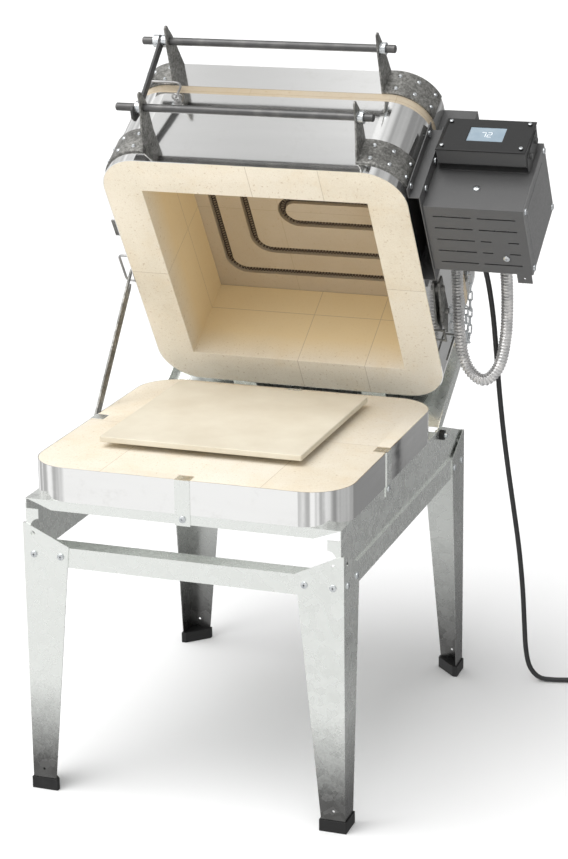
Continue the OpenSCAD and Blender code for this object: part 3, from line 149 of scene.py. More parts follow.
class Look:
    def __init__(self, name, **shader):
        self.material = bpy.data.materials.new(name)
        self.material.use_nodes = True
        self.tree = self.material.node_tree
        self.shader = self.tree.nodes["Principled BSDF"]
        for socket, value in shader.items():
            self.shader.inputs[socket.replace("_", " ")].default_value = value
        self.place = self.add("ShaderNodeTexCoord")["Object"]

    def add(self, kind, settings=None, values=None):
        node = self.tree.nodes.new(kind)
        for name, setting in (settings or {}).items():
            if name == "stops":
                ramp = node.color_ramp
                while len(ramp.elements) < len(setting):
                    ramp.elements.new(1)
                for element, (position, colour) in zip(ramp.elements, setting):
                    element.position = position
                    element.color = (*colour, 1) if len(colour) == 3 else colour
            else:
                setattr(node, name, setting)
        for name, value in (values or {}).items():
            socket = node.inputs[name] if isinstance(name, int) else next(
                s for s in node.inputs if s.enabled and s.name == name)
            if isinstance(value, Wire):
                self.tree.links.new(value.socket, socket)
            else:
                socket.default_value = value
        return {s.name: Wire(self, s) for s in node.outputs if s.enabled}

    def mapped(self, scale=(1, 1, 1), turn=(0, 0, 0), move=(0, 0, 0)):
        return self.add("ShaderNodeMapping", {}, {
            "Vector": self.place, "Scale": scale, "Rotation": turn, "Location": move})["Vector"]

    def noise(self, scale, detail=4, rough=0.55, place=None):
        return self.add("ShaderNodeTexNoise", {}, {
            "Vector": place or self.place, "Scale": scale, "Detail": detail, "Roughness": rough})["Fac"]

    def ramp(self, value, *stops):
        return self.add("ShaderNodeValToRGB", {"stops": stops}, {"Fac": value})["Color"]

    def level(self, value, low, high, toLow=0.0, toHigh=1.0):
        return self.add("ShaderNodeMapRange", {}, {
            "Value": value, "From Min": low, "From Max": high, "To Min": toLow, "To Max": toHigh})["Result"]

    def mix(self, share, first, second):
        full = [(*c, 1) if isinstance(c, tuple) and len(c) == 3 else c for c in (first, second)]
        return self.add("ShaderNodeMix", {"data_type": "RGBA"}, {
            "Factor": share, "A": full[0], "B": full[1]})["Result"]

    def feed(self, **sockets):
        for name, value in sockets.items():
            self.tree.links.new(value.socket, self.shader.inputs[name.replace("_", " ")])
        return self

    def bump(self, height, strength, distance):
        self.feed(Normal=self.add("ShaderNodeBump", {}, {
            "Height": height, "Strength": strength, "Distance": distance})["Normal"])
        return self


def grey(tone, warm=0.0):
    return (tone, tone * (1 - warm * 0.5), tone * (1 - warm))


def galvanisedSheet(name, tone=0.9, reflectionBelow=0.2):
    # the last entry is the tone of the painted dark reflection at the foot
    sheet = {"grain": 85, "spread": 0.035, "rough": (0.22, 0.32), "footReflection": 0.1}
    look = Look(name, Metallic=0.92)
    cells = look.add("ShaderNodeTexVoronoi", {}, {"Vector": look.place, "Scale": sheet["grain"]})["Color"]
    cell = look.add("ShaderNodeSeparateColor", {}, {"Color": cells})["Red"]
    fine = look.noise(420, 3)
    cloud = look.noise(6, 3)
    mask = cell * 0.55 + fine * 0.15 + cloud * 0.3
    zinc = look.ramp(mask, *((at, (t * 0.975, t, t * 0.965)) for at, t in (
        (0.2, tone - sheet["spread"]), (0.55, tone), (0.9, tone + sheet["spread"]))))
    height = look.add("ShaderNodeSeparateXYZ", {}, {"Vector": look.place})["Z"]
    # painted dark reflection on the lower ends: the sheet's colour darkens towards the floor, below the
    # given height
    footReflection = look.level(height + fine * 0.05, 0.07, reflectionBelow, 1, 0)
    footReflectionTone = look.mix(cell, grey(sheet["footReflection"] * 0.7, 0.05), grey(sheet["footReflection"] * 1.3, 0.03))
    look.feed(
        Base_Color=look.mix(footReflection * 0.95, zinc, footReflectionTone),
        Roughness=look.level(mask, 0.2, 0.8, *sheet["rough"]))
    return look.bump(cloud + cell * 0.3, 0.02, 0.0004).material


def polishedJacket():
    look = Look("polishedJacket", Metallic=1.0)
    band = look.noise(3.0, 2, place=look.mapped(scale=(1, 1, 9)))
    streak = look.noise(220, 2, place=look.mapped(scale=(0.06, 0.06, 5)))
    dust = look.level(look.noise(38, 5, 0.7), 0.55, 0.8)
    look.feed(
        Base_Color=look.mix(dust * 0.3, (0.86, 0.86, 0.85), (0.7, 0.69, 0.66)),
        Roughness=look.level(streak * 0.5 + band * 0.3 + dust * 0.4, 0.2, 1.0, 0.05, 0.19))
    return look.bump(band, 0.12, 0.002).material


def firebrick(name, place, joints, aged=0.0, paintedBounce=0.0):
    # soft insulating brick: fine pits, crumbs, faint clouds, thin butt joints and a tone for each brick
    brick = {"pits": 900, "clouds": 9, "jointHalf": 0.0005, "toneSpread": 0.16}
    look = Look(name, Roughness=0.93)
    look.shader.inputs["Specular IOR Level"].default_value = 0.2
    home = place.inverted()
    local = look.mapped(turn=home.to_euler(), move=home.translation)
    axes = look.add("ShaderNodeSeparateXYZ", {}, {"Vector": local})
    joint, which = None, None
    for axis, step, places in zip("XYZ", (1.7, 5.3, 11.1), joints):
        for at in places:
            line = 1 - (abs(axes[axis] - at) > brick["jointHalf"])
            side = (axes[axis] > at) * step
            joint = line if joint is None else joint.combine("MAXIMUM", joint, line)
            which = side if which is None else which + side
    tone = look.add("ShaderNodeTexWhiteNoise", {"noise_dimensions": "1D"}, {"W": which})["Value"]
    pits = look.add("ShaderNodeTexVoronoi", {}, {"Vector": look.place, "Scale": brick["pits"]})["Distance"]
    pit = 1 - look.level(pits, 0.12, 0.42)
    grain = look.noise(260, 6, 0.7)
    cloud = look.noise(brick["clouds"], 4, 0.6)
    stain = look.level(look.noise(22, 5, 0.65), 0.52, 0.85)
    mask = cloud * 0.6 + grain * 0.25 + (tone - 0.5) * brick["toneSpread"] + 0.075
    colour = look.ramp(
        mask, (0.3, (0.74, 0.65, 0.50)), (0.5, (0.82, 0.755, 0.63)), (0.72, (0.86, 0.81, 0.72)))
    colour = look.mix(stain * 0.35, colour, (0.76, 0.60, 0.38))
    colour = look.mix(pit * 0.4, colour, (0.52, 0.4, 0.26))
    crumb = look.level(look.noise(240, 4, 0.65), 0.6, 0.68)
    colour = look.mix(crumb * 0.5, colour, (0.42, 0.29, 0.15))
    if paintedBounce:   # painted warm bounce light: the mask below turns the walls yellower deeper in the cavity, away from the lip
        heat = look.level(axes["Z"] + cloud * 0.03, 0.012, 0.07, 0, paintedBounce)
        colour = look.mix(heat, colour, (0.88, 0.70, 0.40))
    if aged:
        smoke = look.level(look.noise(5, 4), 0.25, 0.75, aged * 0.7, aged)
        colour = look.mix(smoke, colour, (0.42, 0.32, 0.2))
    colour = look.mix(joint * 0.55, colour, (0.4, 0.31, 0.2))
    look.feed(Base_Color=colour)
    return look.bump(grain * 0.6 - pit * 0.8 - joint * 2, 0.35, 0.0006).material


def shelfClay():
    look = Look("shelfClay", Roughness=0.9)
    speck = look.level(look.noise(600, 5, 0.8), 0.58, 0.72)
    cloud = look.noise(14, 4)
    grog = look.add("ShaderNodeTexVoronoi", {}, {"Vector": look.place, "Scale": 480})["Distance"]
    colour = look.ramp(cloud, (0.3, (0.67, 0.61, 0.49)), (0.7, (0.75, 0.70, 0.58)))
    colour = look.mix(speck * 0.4, colour, (0.50, 0.43, 0.31))
    look.feed(Base_Color=colour)
    return look.bump(look.noise(500, 6, 0.7) + grog * 0.4, 0.35, 0.0005).material


def rawSteel():
    # hot rolled plate: mottled patches of scale with brighter rubbed spots
    look = Look("rawSteel", Metallic=0.75)
    mottle = look.noise(230, 6, 0.72)
    patch = look.noise(26, 4, 0.6)
    mask = mottle * 0.65 + patch * 0.35
    look.feed(
        Base_Color=look.ramp(
            mask, (0.36, (0.09, 0.088, 0.082)), (0.48, (0.2, 0.197, 0.185)),
            (0.6, (0.37, 0.365, 0.345)), (0.8, (0.55, 0.54, 0.51))),
        Roughness=look.level(mask, 0.3, 0.7, 0.62, 0.38))
    return look.bump(mottle, 0.25, 0.0006).material


def rodSteel(name="rodSteel", tone=0.1, rough=(0.3, 0.48)):
    look = Look(name, Metallic=0.85)
    draw = look.noise(300, 3, place=look.mapped(scale=(0.08, 1, 1)))
    wear = look.level(look.noise(45, 4), 0.45, 0.75)
    look.feed(
        Base_Color=look.mix(wear * 0.5 + draw * 0.2, grey(tone), grey(tone * 2.2, 0.06)),
        Roughness=look.level(draw, 0.3, 0.7, *rough))
    return look.bump(draw, 0.08, 0.0003).material


def brightZinc():
    look = Look("brightZinc", Metallic=1.0)
    spots = look.noise(260, 4)
    look.feed(
        Base_Color=look.ramp(spots, (0.35, (0.55, 0.58, 0.60)), (0.65, (0.78, 0.80, 0.81))),
        Roughness=look.level(spots, 0.3, 0.7, 0.2, 0.36))
    return look.bump(spots, 0.06, 0.0003).material


def powderCoat(name, tone, rough=0.5, coarse=900, lift=0.35, dust=0.12):
    look = Look(name, Roughness=rough)
    orange = look.noise(coarse, 3, 0.6)
    cloud = look.noise(8, 4)
    worn = look.level(look.noise(70, 6, 0.7), 0.6, 0.85)
    look.feed(
        Base_Color=look.mix(cloud * dust + worn * dust, grey(tone), grey(tone * 2.4 + 0.03)),
        Roughness=look.level(orange, 0.3, 0.7, rough - 0.08, rough + 0.12))
    return look.bump(orange, lift, 0.0004).material


def mouldedPlastic(name, colour, rough=0.45, grainScale=1500):
    look = Look(name)
    grain = look.noise(grainScale, 2)
    rub = look.level(look.noise(40, 5, 0.7), 0.55, 0.85)
    worn = tuple(c * 1.6 + 0.03 for c in colour)
    look.feed(
        Base_Color=look.mix(rub * 0.4, colour, worn),
        Roughness=look.level(grain, 0.3, 0.7, rough - 0.06, rough + 0.1))
    return look.bump(grain, 0.12, 0.0002).material


def heatWire():
    look = Look("heatWire", Metallic=0.15)
    scale = look.noise(500, 4)
    look.feed(
        Base_Color=look.ramp(scale, (0.35, (0.045, 0.03, 0.02)), (0.7, (0.15, 0.10, 0.065))),
        Roughness=look.level(scale, 0.3, 0.7, 0.5, 0.75))
    return look.bump(scale, 0.2, 0.0002).material


def screenGlass():
    look = Look("screenGlass", Roughness=0.12)
    cloud = look.noise(30, 3)
    look.feed(Base_Color=look.ramp(cloud, (0.3, (0.27, 0.35, 0.42)), (0.7, (0.36, 0.44, 0.50))))
    return look.bump(look.noise(900, 2), 0.03, 0.0001).material


looks = {
    "zinc": galvanisedSheet("galvanisedSheet"),
    # darker copy of the zinc for the rear legs and rear rail: painted shade and dark reflection, with the
    # painted foot reflection reaching higher
    "shadedZinc": galvanisedSheet("shadedGalvanised", 0.6, 0.26),
    "jacket": polishedJacket(),
    "baseBrick": firebrick("baseBrick", standPlace, ((-0.121, 0.121), (-0.081,), ())),
    "chamberBrick": firebrick(
        "chamberBrick", chamberPlace, ((0.0, 0.112), (-0.242,), (0.1016,)), paintedBounce=0.8),
    "lidBrick": firebrick(
        "lidBrick", chamberPlace, ((-0.04, 0.19), (-0.241,), (0.16,)), aged=0.75),
    "shelf": shelfClay(),
    "raw": rawSteel(),
    "rod": rodSteel(),
    "wireSteel": rodSteel("wireSteel", 0.34, (0.26, 0.42)),
    "bright": brightZinc(),
    "cap": mouldedPlastic("footPlastic", (0.006, 0.006, 0.006), 0.6),
    "boxCoat": powderCoat("boxCoat", 0.085, 0.46, 700, 0.3, 0.1),
    # lighter than the box's coat: partly its coarser powder, partly painted light falling on the right side
    "coverCoat": powderCoat("coverCoat", 0.14, 0.6, 260, 0.9, 0.25),
    "headCoat": powderCoat("headCoat", 0.06, 0.42, 900, 0.2, 0.1),
    "plate": powderCoat("plateCoat", 0.008, 0.42, 1200, 0.08, 0.02),
    "latch": powderCoat("latchCoat", 0.035, 0.45, 500, 0.4, 0.25),
    "screen": screenGlass(),
    "digits": mouldedPlastic("digitInk", (0.82, 0.87, 0.9), 0.4),
    "board": mouldedPlastic("boardGreen", (0.03, 0.16, 0.07), 0.4),
    "pale": mouldedPlastic("palePlastic", (0.72, 0.70, 0.63), 0.5),
    "ceramic": mouldedPlastic("ceramicWhite", (0.78, 0.75, 0.67), 0.7, 700),
    "heat": heatWire(),
    "conduit": rodSteel("conduitZinc", 0.62, (0.24, 0.4)),
    "cord": mouldedPlastic("cordBlack", (0.016, 0.016, 0.017), 0.42),
}
print("looks made:", len(looks))

# which look each solid of the frame takes
nodeLooks = {
    "zinc": ["leg_front_left", "leg_front_right", "front_rail", "platform", "base_clips", "back_plate"],
    "shadedZinc": ["leg_rear_left", "leg_rear_right", "rear_rail"],
    "jacket": ["base_jacket", "chamber_jacket", "lid_jacket"],
    "baseBrick": ["base_brick"],
    "chamberBrick": ["chamber_brick"],
    "lidBrick": ["lid_brick"],
    "shelf": ["kiln_shelf"],
    "ceramic": ["shelf_posts", "thermocouple"],
    "raw": ["chamber_brackets", "lid_brackets", "side_brackets", "lid_hinge_arms", "prop_bar"],
    "rod": ["chamber_rod", "lid_rod"],
    "wireSteel": ["prop_loop", "latch_hook", "latch_eye"],
    "bright": ["stand_screws", "prop_pivot", "hinge_pins", "chamber_collars", "lid_collars",
               "chamber_rivets", "lid_rivets", "box_screws", "stay_chain"],
    "cap": ["foot_caps", "hinge_bushes"],
    "boxCoat": ["box_stand_off", "heat_shield", "control_box", "lid_terminal_box"],
    "coverCoat": ["box_cover"],
    "headCoat": ["display_head", "display_bracket"],
    "plate": ["display_plate"],
    "latch": ["latch_bar"],
    "screen": ["display_screen"],
    "board": ["control_board"],
    "pale": ["power_relay", "terminal_block"],
    "heat": ["heating_element"],
    "conduit": ["flexible_conduit"],
    "cord": ["strain_relief", "power_cord", "cord_coil", "cord_tie", "power_plug"],
}
for lookName, members in nodeLooks.items():
    for member in members:
        slots = nodes[member].data.materials
        slots.clear()
        slots.append(looks[lookName])
print("solids finished:", sum(len(m) for m in nodeLooks.values()))


# ---- small helpers for new pieces
def finishPiece(name, mesh, look, body, replaced=(), smooth=35):
    bmesh.ops.recalc_face_normals(mesh, faces=mesh.faces)
    data = bpy.data.meshes.new(name)
    mesh.to_mesh(data)
    mesh.free()
    data.materials.append(looks[look])
    piece = bpy.data.objects.new(name, data)
    bpy.context.scene.collection.objects.link(piece)
    if smooth:
        data.shade_smooth()
        data.set_sharp_from_angle(angle=math.radians(smooth))
    if body:
        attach(piece, body)
    if replaced:
        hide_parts(*replaced)
    return piece


easing = {"merge": 0.00001, "flat": 1, "sharp": 40, "segments": 2}   # metres, degrees, count


def roundedCopy(nodeName, look, body, width, slot, smooth=30, shortest=0):
    # a solid's own faces, joined up and given softened edges
    mesh = bmesh.new()
    mesh.from_mesh(nodes[nodeName].data)
    bmesh.ops.remove_doubles(mesh, verts=mesh.verts, dist=easing["merge"])
    bmesh.ops.dissolve_limit(
        mesh, angle_limit=math.radians(easing["flat"]), verts=mesh.verts, edges=mesh.edges)
    sharp = [e for e in mesh.edges if e.is_manifold and e.calc_length() > shortest * mm
             and e.calc_face_angle(0) > math.radians(easing["sharp"])]
    bmesh.ops.bevel(mesh, geom=sharp, offset=width * mm, offset_type="OFFSET", affect="EDGES",
                    segments=easing["segments"], profile=0.5, material=-1, clamp_overlap=True)
    return finishPiece(nodeName + "_soft", mesh, look, body, [nodeName], smooth=smooth)


def smoothLine(points, steps):
    line = []
    for i in range(len(points) - 1):
        near = (max(i - 1, 0), i, i + 1, min(i + 2, len(points) - 1))
        a, b, c, d = (Vector(points[j]) for j in near)
        for k in range(steps):
            t = k / steps
            line.append(0.5 * (2 * b + (c - a) * t + (2 * a - 5 * b + 4 * c - d) * t * t
                               + (3 * b - a - 3 * c + d) * t ** 3))
    return line + [Vector(points[-1])]


def evenLine(line, count):
    lengths = [0.0]
    for a, b in zip(line, line[1:]):
        lengths.append(lengths[-1] + (b - a).length)
    out, j = [], 0
    for i in range(count + 1):
        at = lengths[-1] * i / count
        while j < len(lengths) - 2 and lengths[j + 1] < at:
            j += 1
        span = lengths[j + 1] - lengths[j]
        out.append(line[j].lerp(line[j + 1], (at - lengths[j]) / span if span else 0))
    return out


def wireMesh(name, lines, radii, roundness=1):
    # round wires swept by a curve, then kept as one mesh
    data = bpy.data.curves.new(name, "CURVE")
    data.dimensions = "3D"
    data.bevel_depth = 1
    data.bevel_resolution = roundness
    data.use_fill_caps = True
    for line, radius in zip(lines, radii):
        spline = data.splines.new("POLY")
        spline.points.add(len(line) - 1)
        for point, at in zip(spline.points, line):
            point.co = (*at, 1)
            point.radius = radius
    holder = bpy.data.objects.new(name, data)
    bpy.context.scene.collection.objects.link(holder)
    swept = bpy.data.meshes.new_from_object(holder.evaluated_get(bpy.context.evaluated_depsgraph_get()))
    mesh = bmesh.new()
    mesh.from_mesh(swept)
    bpy.data.objects.remove(holder)
    bpy.data.curves.remove(data)
    bmesh.ops.remove_doubles(mesh, verts=mesh.verts, dist=0.000001)
    return mesh


def tubeAlong(mesh, line, radii, sides):
    # one ring per point, carried along without twisting, then joined and capped
    rings = []
    side = Vector((1, 0, 0))
    for i, point in enumerate(line):
        heading = (line[min(i + 1, len(line) - 1)] - line[max(i - 1, 0)]).normalized()
        side = (side - heading * side.dot(heading)).normalized()
        turn = Matrix((side, heading.cross(side), heading)).transposed().to_4x4()
        turn.translation = point
        ring = bmesh.ops.create_circle(mesh, segments=sides, radius=radii[i], matrix=turn)["verts"]
        rings.append(ring)
    for a, b in zip(rings, rings[1:]):
        for k in range(sides):
            mesh.faces.new((a[k], a[(k + 1) % sides], b[(k + 1) % sides], b[k]))
    mesh.faces.new(list(reversed(rings[0])))
    mesh.faces.new(rings[-1])


# ---- flexible conduit with its wound ribs
conduit = {"radius": 9.6, "dip": 2.2, "ribs": 112, "ringsPerRib": 4, "sides": 24, "sharpness": 1.5}
conduitStart = [chamberSpot(268, 272, z) for z in (170.1, 156.1, 142.1)]
conduitHang = [standSpot(*p) for p in (
    (263, 188, 745), (259, 205, 700), (259, 212, 650), (262, 212, 600), (274, 210, 554),
    (301, 207, 533), (326, 205, 556), (338, 200, 605), (342, 192, 660), (343, 180, 710))]
conduitEnd = [chamberSpot(342, a, 92) for a in (262, 275, 288)]


def makeConduit():
    steps = conduit["ribs"] * conduit["ringsPerRib"]
    line = evenLine(smoothLine(conduitStart + conduitHang + conduitEnd, 12), steps)
    wave = []
    for i in range(steps + 1):
        valley = 0.5 - 0.5 * math.cos(math.tau * i / conduit["ringsPerRib"])
        wave.append(conduit["radius"] - conduit["dip"] * valley ** conduit["sharpness"])
    mesh = bmesh.new()
    tubeAlong(mesh, line, [w * mm for w in wave], conduit["sides"])
    piece = finishPiece("conduit_hose", mesh, "conduit", None, smooth=60)
    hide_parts("flexible_conduit")
    return piece


conduitPiece = makeConduit()
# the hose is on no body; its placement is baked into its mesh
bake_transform(conduitPiece)
print("conduit made")

# ---- power cord, one run with its stored coil
cord = {"radius": 4.0, "sides": 16, "coilGate": 448, "coilY": 312, "coilBeyond": 66, "coilOuter": 50,
        "turns": 1.35, "perTurn": 36, "lift": 5.2, "pitch": 8.7, "climb": 8.6, "climbTurns": 0.5}
cordStart = [chamberSpot(312, a, 74) for a in (256, 244, 230)]
cordHang = [standSpot(*p) for p in (
    (313, 190, 690), (317, 203, 640), (320, 214, 580), (323, 226, 510), (327, 240, 440),
    (332, 256, 370), (338, 272, 300), (344, 286, 230), (349, 294, 160), (352, 297, 100),
    (355, 298, 55), (362, 299, 24), (378, 300, 7), (400, 304, 4.2), (420, 309, 4.2),
    (436, 312, 4.4), (448, 312, 5.2))]


def cordLine():
    run = evenLine(smoothLine(cordStart + cordHang, 6), 110)
    centre = (cord["coilGate"] + cord["coilBeyond"], cord["coilY"] + cord["coilOuter"])
    total = 2 * cord["turns"] + cord["climbTurns"]
    gate = [standSpot(cord["coilGate"] + x, cord["coilY"], cord["lift"]) for x in (12, 24, 36, 48)]
    loops, count = [], math.ceil(total * cord["perTurn"])
    for i in range(count + 1):
        turn = total * i / count
        angle = math.radians(360 * turn - 90)
        radius = cord["coilOuter"] - cord["pitch"] * min(turn, total - turn)
        climbed = min(max((turn - cord["turns"]) / cord["climbTurns"], 0), 1)
        height = cord["lift"] + cord["climb"] * (0.5 - math.cos(climbed * math.pi) / 2)
        loops.append(standSpot(
            centre[0] + radius * math.cos(angle), centre[1] + radius * math.sin(angle), height))
    away = loops[-1] - loops[-2]
    away.z = 0
    away.normalize()
    return run + gate + loops + [loops[-1] + away * 12 * mm, loops[-1] + away * 24 * mm]


def makeCord():
    line = cordLine()
    mesh = bmesh.new()
    tubeAlong(mesh, line, [cord["radius"] * mm] * len(line), cord["sides"])
    piece = finishPiece("power_lead", mesh, "cord", "chamber", ["power_cord", "cord_coil"],
                        smooth=60)
    length = sum((b - a).length for a, b in zip(line, line[1:]))
    print("cord length", round(length, 3))
    plug = roundedCopy("power_plug", "cord", "chamber", 0.8, "cord_black")


makeCord()
print("cord made")

# ---- heating element: close wound coil in the lid's groove
element = {"outerRow": 139, "middleRow": 89, "innerRow": 25, "hairpin": 128, "innerX": -10,
           "middleX": 95, "outerX": 149, "bend": 28, "end": 162, "coil": 4.2, "wire": 0.8, "pitch": 5.2,
           "perCurl": 10, "rowMiddle": 241, "height": 6.25, "leadWire": 1.5, "leadStart": 158,
           "leadTurn": 164, "leadHeight": 30, "leadEnd": 246}


def arcOf(cx, cy, r, a0, a1, n=12):
    return [Vector((cx + r * math.cos(math.radians(a0 + (a1 - a0) * i / n)),
                    cy + r * math.sin(math.radians(a0 + (a1 - a0) * i / n)), 0)) for i in range(n + 1)]


def makeElement():
    e = element
    r1, r2, b = (e["outerRow"] - e["middleRow"]) / 2, (e["middleRow"] - e["innerRow"]) / 2, e["bend"]
    track = [Vector((e["end"], -e["outerRow"], 0))]
    track += arcOf(b - e["outerX"], b - e["outerRow"], b, 270, 180)
    track += arcOf(b - e["outerX"], e["outerRow"] - b, b, 180, 90)
    track += arcOf(e["hairpin"], e["outerRow"] - r1, r1, 90, -90, 18)
    track += arcOf(b - e["middleX"], e["middleRow"] - b, b, 90, 180)
    track += arcOf(b - e["middleX"], b - e["middleRow"], b, 180, 270)
    track += arcOf(e["hairpin"], r2 - e["middleRow"], r2, -90, 90, 18)
    track += arcOf(e["innerX"], 0, e["innerRow"], 270, 90, 16)
    track += [Vector((e["end"], e["innerRow"], 0))]
    length = sum((q - p).length for p, q in zip(track, track[1:]))
    curls = int(length / e["pitch"])
    line = evenLine(track, curls * e["perCurl"])
    lidMiddle = Vector((0, -e["rowMiddle"], kiln["lidBottom"]))
    helix = []
    for i, point in enumerate(line):
        heading = (line[min(i + 1, len(line) - 1)] - line[max(i - 1, 0)]).normalized()
        side = Vector((-heading.y, heading.x, 0))
        fade = min(1, i / e["perCurl"], (len(line) - 1 - i) / e["perCurl"])
        angle = math.tau * i / e["perCurl"]
        curl = (side * math.cos(angle) + Vector((0, 0, math.sin(angle)))) * e["coil"] * fade
        helix.append(chamberPlace @ ((point + curl + lidMiddle + Vector((0, 0, e["height"]))) * mm))
    wires = [helix]
    for y in (-e["outerRow"], e["innerRow"]):
        leads = [Vector((e["leadStart"], y, e["height"])), Vector((e["leadTurn"], y, e["height"])),
                 Vector((e["leadTurn"], y, e["leadHeight"])), Vector((e["leadEnd"], y, e["leadHeight"]))]
        wires.append([chamberPlace @ ((p + lidMiddle) * mm) for p in leads])
    mesh = wireMesh("element", wires, [e["wire"] * mm, e["leadWire"] * mm, e["leadWire"] * mm])
    finishPiece("element_coil", mesh, "heat", "lid", ["heating_element"], smooth=70)
    print("element made:", curls, "curls")


makeElement()

# ---- solids given softened edges
softened = {   # look, body, width of the eased edge, slot, smoothing angle, shortest edge that is eased
    "kiln_shelf": ("shelf", "stand", 1.6, "cordierite", 0),
    "foot_caps": ("cap", "stand", 0.9, "black_cap", 0),
    "control_box": ("boxCoat", "chamber", 0.5, "box_paint", 0, 100),
    "box_cover": ("coverCoat", "chamber", 0.35, "box_paint", 0),
    "display_head": ("headCoat", "chamber", 0.8, "head_paint", 0),
    "display_plate": ("plate", "chamber", 0.5, "head_paint", 0, 20),
    "lid_terminal_box": ("boxCoat", "lid", 0.5, "box_paint", 0),
    "prop_bar": ("raw", "prop", 0.4, "raw_steel", 0),
    "latch_bar": ("latch", "latch", 0.5, "head_paint"),
    "base_brick": ("baseBrick", "stand", 1.2, "firebrick"),
    "chamber_brick": ("chamberBrick", "chamber", 1.2, "firebrick"),
    "chamber_brackets": ("raw", "chamber", 0.5, "raw_steel"),
    "lid_brackets": ("raw", "lid", 0.5, "raw_steel"),
    "side_brackets": ("raw", "chamber", 0.4, "raw_steel"),
    "box_stand_off": ("boxCoat", "chamber", 0.4, "box_paint", 0),
}
for nodeName, (look, body, width, slot, *edges) in softened.items():
    roundedCopy(nodeName, look, body, width, slot, *edges)
print("softened:", len(softened))

# ---- handle rods with eased ends
rod = {"radius": 6, "left": 210, "length": 402, "ease": 1.2, "steps": 40,
       "chamberPlace": (534, 60), "lidPlace": (547, 196.9)}   # forward and height


def makeRod(nodeName, body, forward, height):
    radius, length, ease = rod["radius"], rod["length"], rod["ease"]
    profile = [(0, 0), (radius - ease, 0), (radius, ease),
               (radius, length - ease), (radius - ease, length), (0, length)]
    mesh = bmesh.new()
    verts = [mesh.verts.new((along, out, 0)) for out, along in profile]
    edges = [mesh.edges.new(pair) for pair in zip(verts, verts[1:])]
    bmesh.ops.spin(mesh, geom=verts + edges, cent=(0, 0, 0), axis=(1, 0, 0), angle=math.tau,
                   steps=rod["steps"], use_merge=True)
    bmesh.ops.remove_doubles(mesh, verts=mesh.verts, dist=0.001)
    place = (chamberPlace @ Matrix.Scale(mm, 4)
             @ Matrix.Translation((-rod["left"], -forward, height)))
    bmesh.ops.transform(mesh, matrix=place, verts=mesh.verts)
    finishPiece(nodeName + "_bar", mesh, "rod", body, [nodeName])


makeRod("chamber_rod", "chamber", *rod["chamberPlace"])
makeRod("lid_rod", "lid", *rod["lidPlace"])
print("rods made")

# ---- screws with a cross recess, their shanks and nuts
screw = {"head": 5.2, "high": 2.6, "shank": 2.5, "nut": 4.6, "nutHigh": 4, "nutEase": 0.5,
         "cross": 2.7, "crossDeep": 1.6, "sides": 16}
bolts = {"legX": 243, "legY": 314, "offsets": (16, 58), "height": 369.5, "grip": 3,
         "long": 9, "clipLong": 7.7,
         "clips": [(5, -312.7, 446, (0, -1, 0)), (5, 171.2, 446, (0, 1, 0)), (239.7, -95, 446, (1, 0, 0))]}
boxBolts = [(331, 417, 47, (0, -1, 0)), (373, 320, 5, (0, 0, -1))] + [
    (409.2, 288 + out, 5 + up, (1, 0, 0)) for out in (8, 121) for up in (8, 137)] + [
    (259, 426, up, (1, 0, 0)) for up in (33, 92)]


def facing(place, spot, outward):
    turn = Vector((0, 0, 1)).rotation_difference(Vector(outward)).to_matrix().to_4x4()
    return place @ Matrix.Scale(mm, 4) @ Matrix.Translation(spot) @ turn


def addRings(mesh, place, sections, sides):
    # closed solid from rings given as radius patterns and heights, bottom first
    rings = []
    for pattern, height in sections:
        verts = bmesh.ops.create_circle(mesh, segments=sides, radius=1)["verts"]
        for i, vert in enumerate(verts):
            radius = pattern[i % len(pattern)]
            vert.co = place @ Vector((vert.co.x * radius, vert.co.y * radius, height))
        rings.append(verts)
    for low, high in zip(rings, rings[1:]):
        edges = dict.fromkeys(e for v in low + high for e in v.link_edges)   # keeps their order
        edges = [e for e in edges if len(e.link_faces) < 2
                 and (set(e.verts) <= set(low) or set(e.verts) <= set(high))]
        bmesh.ops.bridge_loops(mesh, edges=edges)
    mesh.faces.new(rings[0])
    mesh.faces.new(rings[-1])


def addScrew(mesh, place, size=1.0, length=0, nutAt=None):
    r, h, c = screw["head"] * size, screw["high"] * size, screw["cross"] * size
    shank = [((screw["shank"],), -length), ((screw["shank"],), 0)] if length else []
    star = (c, c * 0.36, c * 0.3, c * 0.36)
    addRings(mesh, place, shank + [
        ((r,), 0), ((r,), h * 0.45), ((r * 0.93,), h * 0.75), ((r * 0.62,), h), (star, h),
        (tuple(v * 0.6 for v in star), h - screw["crossDeep"] * size)], screw["sides"])
    if nutAt:
        n, t, ease = screw["nut"], screw["nutHigh"], screw["nutEase"]
        addRings(mesh, place, [
            ((n * 0.88,), -nutAt - t), ((n,), -nutAt - t + ease),
            ((n,), -nutAt - ease), ((n * 0.88,), -nutAt)], 6)


def makeScrews():
    mesh = bmesh.new()
    legX, legY, height = bolts["legX"], bolts["legY"], bolts["height"]
    for sx in (-1, 1):
        for sy in (-1, 1):
            for off in bolts["offsets"]:
                for spot, outward in (((sx * (legX - off), sy * legY, height), (0, sy, 0)),
                                      ((sx * legX, sy * (legY - off), height), (sx, 0, 0))):
                    addScrew(mesh, facing(standPlace, spot, outward), 1, bolts["long"], bolts["grip"])
    for x, y, z, outward in bolts["clips"]:
        addScrew(mesh, facing(standPlace, (x, y, z), outward), 1, bolts["clipLong"])
    finishPiece("stand_bolts", mesh, "bright", "stand", ["stand_screws"], smooth=30)
    mesh = bmesh.new()
    for x, forward, z, outward in boxBolts:
        addScrew(mesh, facing(chamberPlace, (x, -forward, z), outward))
    finishPiece("box_bolts", mesh, "bright", "chamber", ["box_screws"], smooth=30)


makeScrews()
print("screws made")

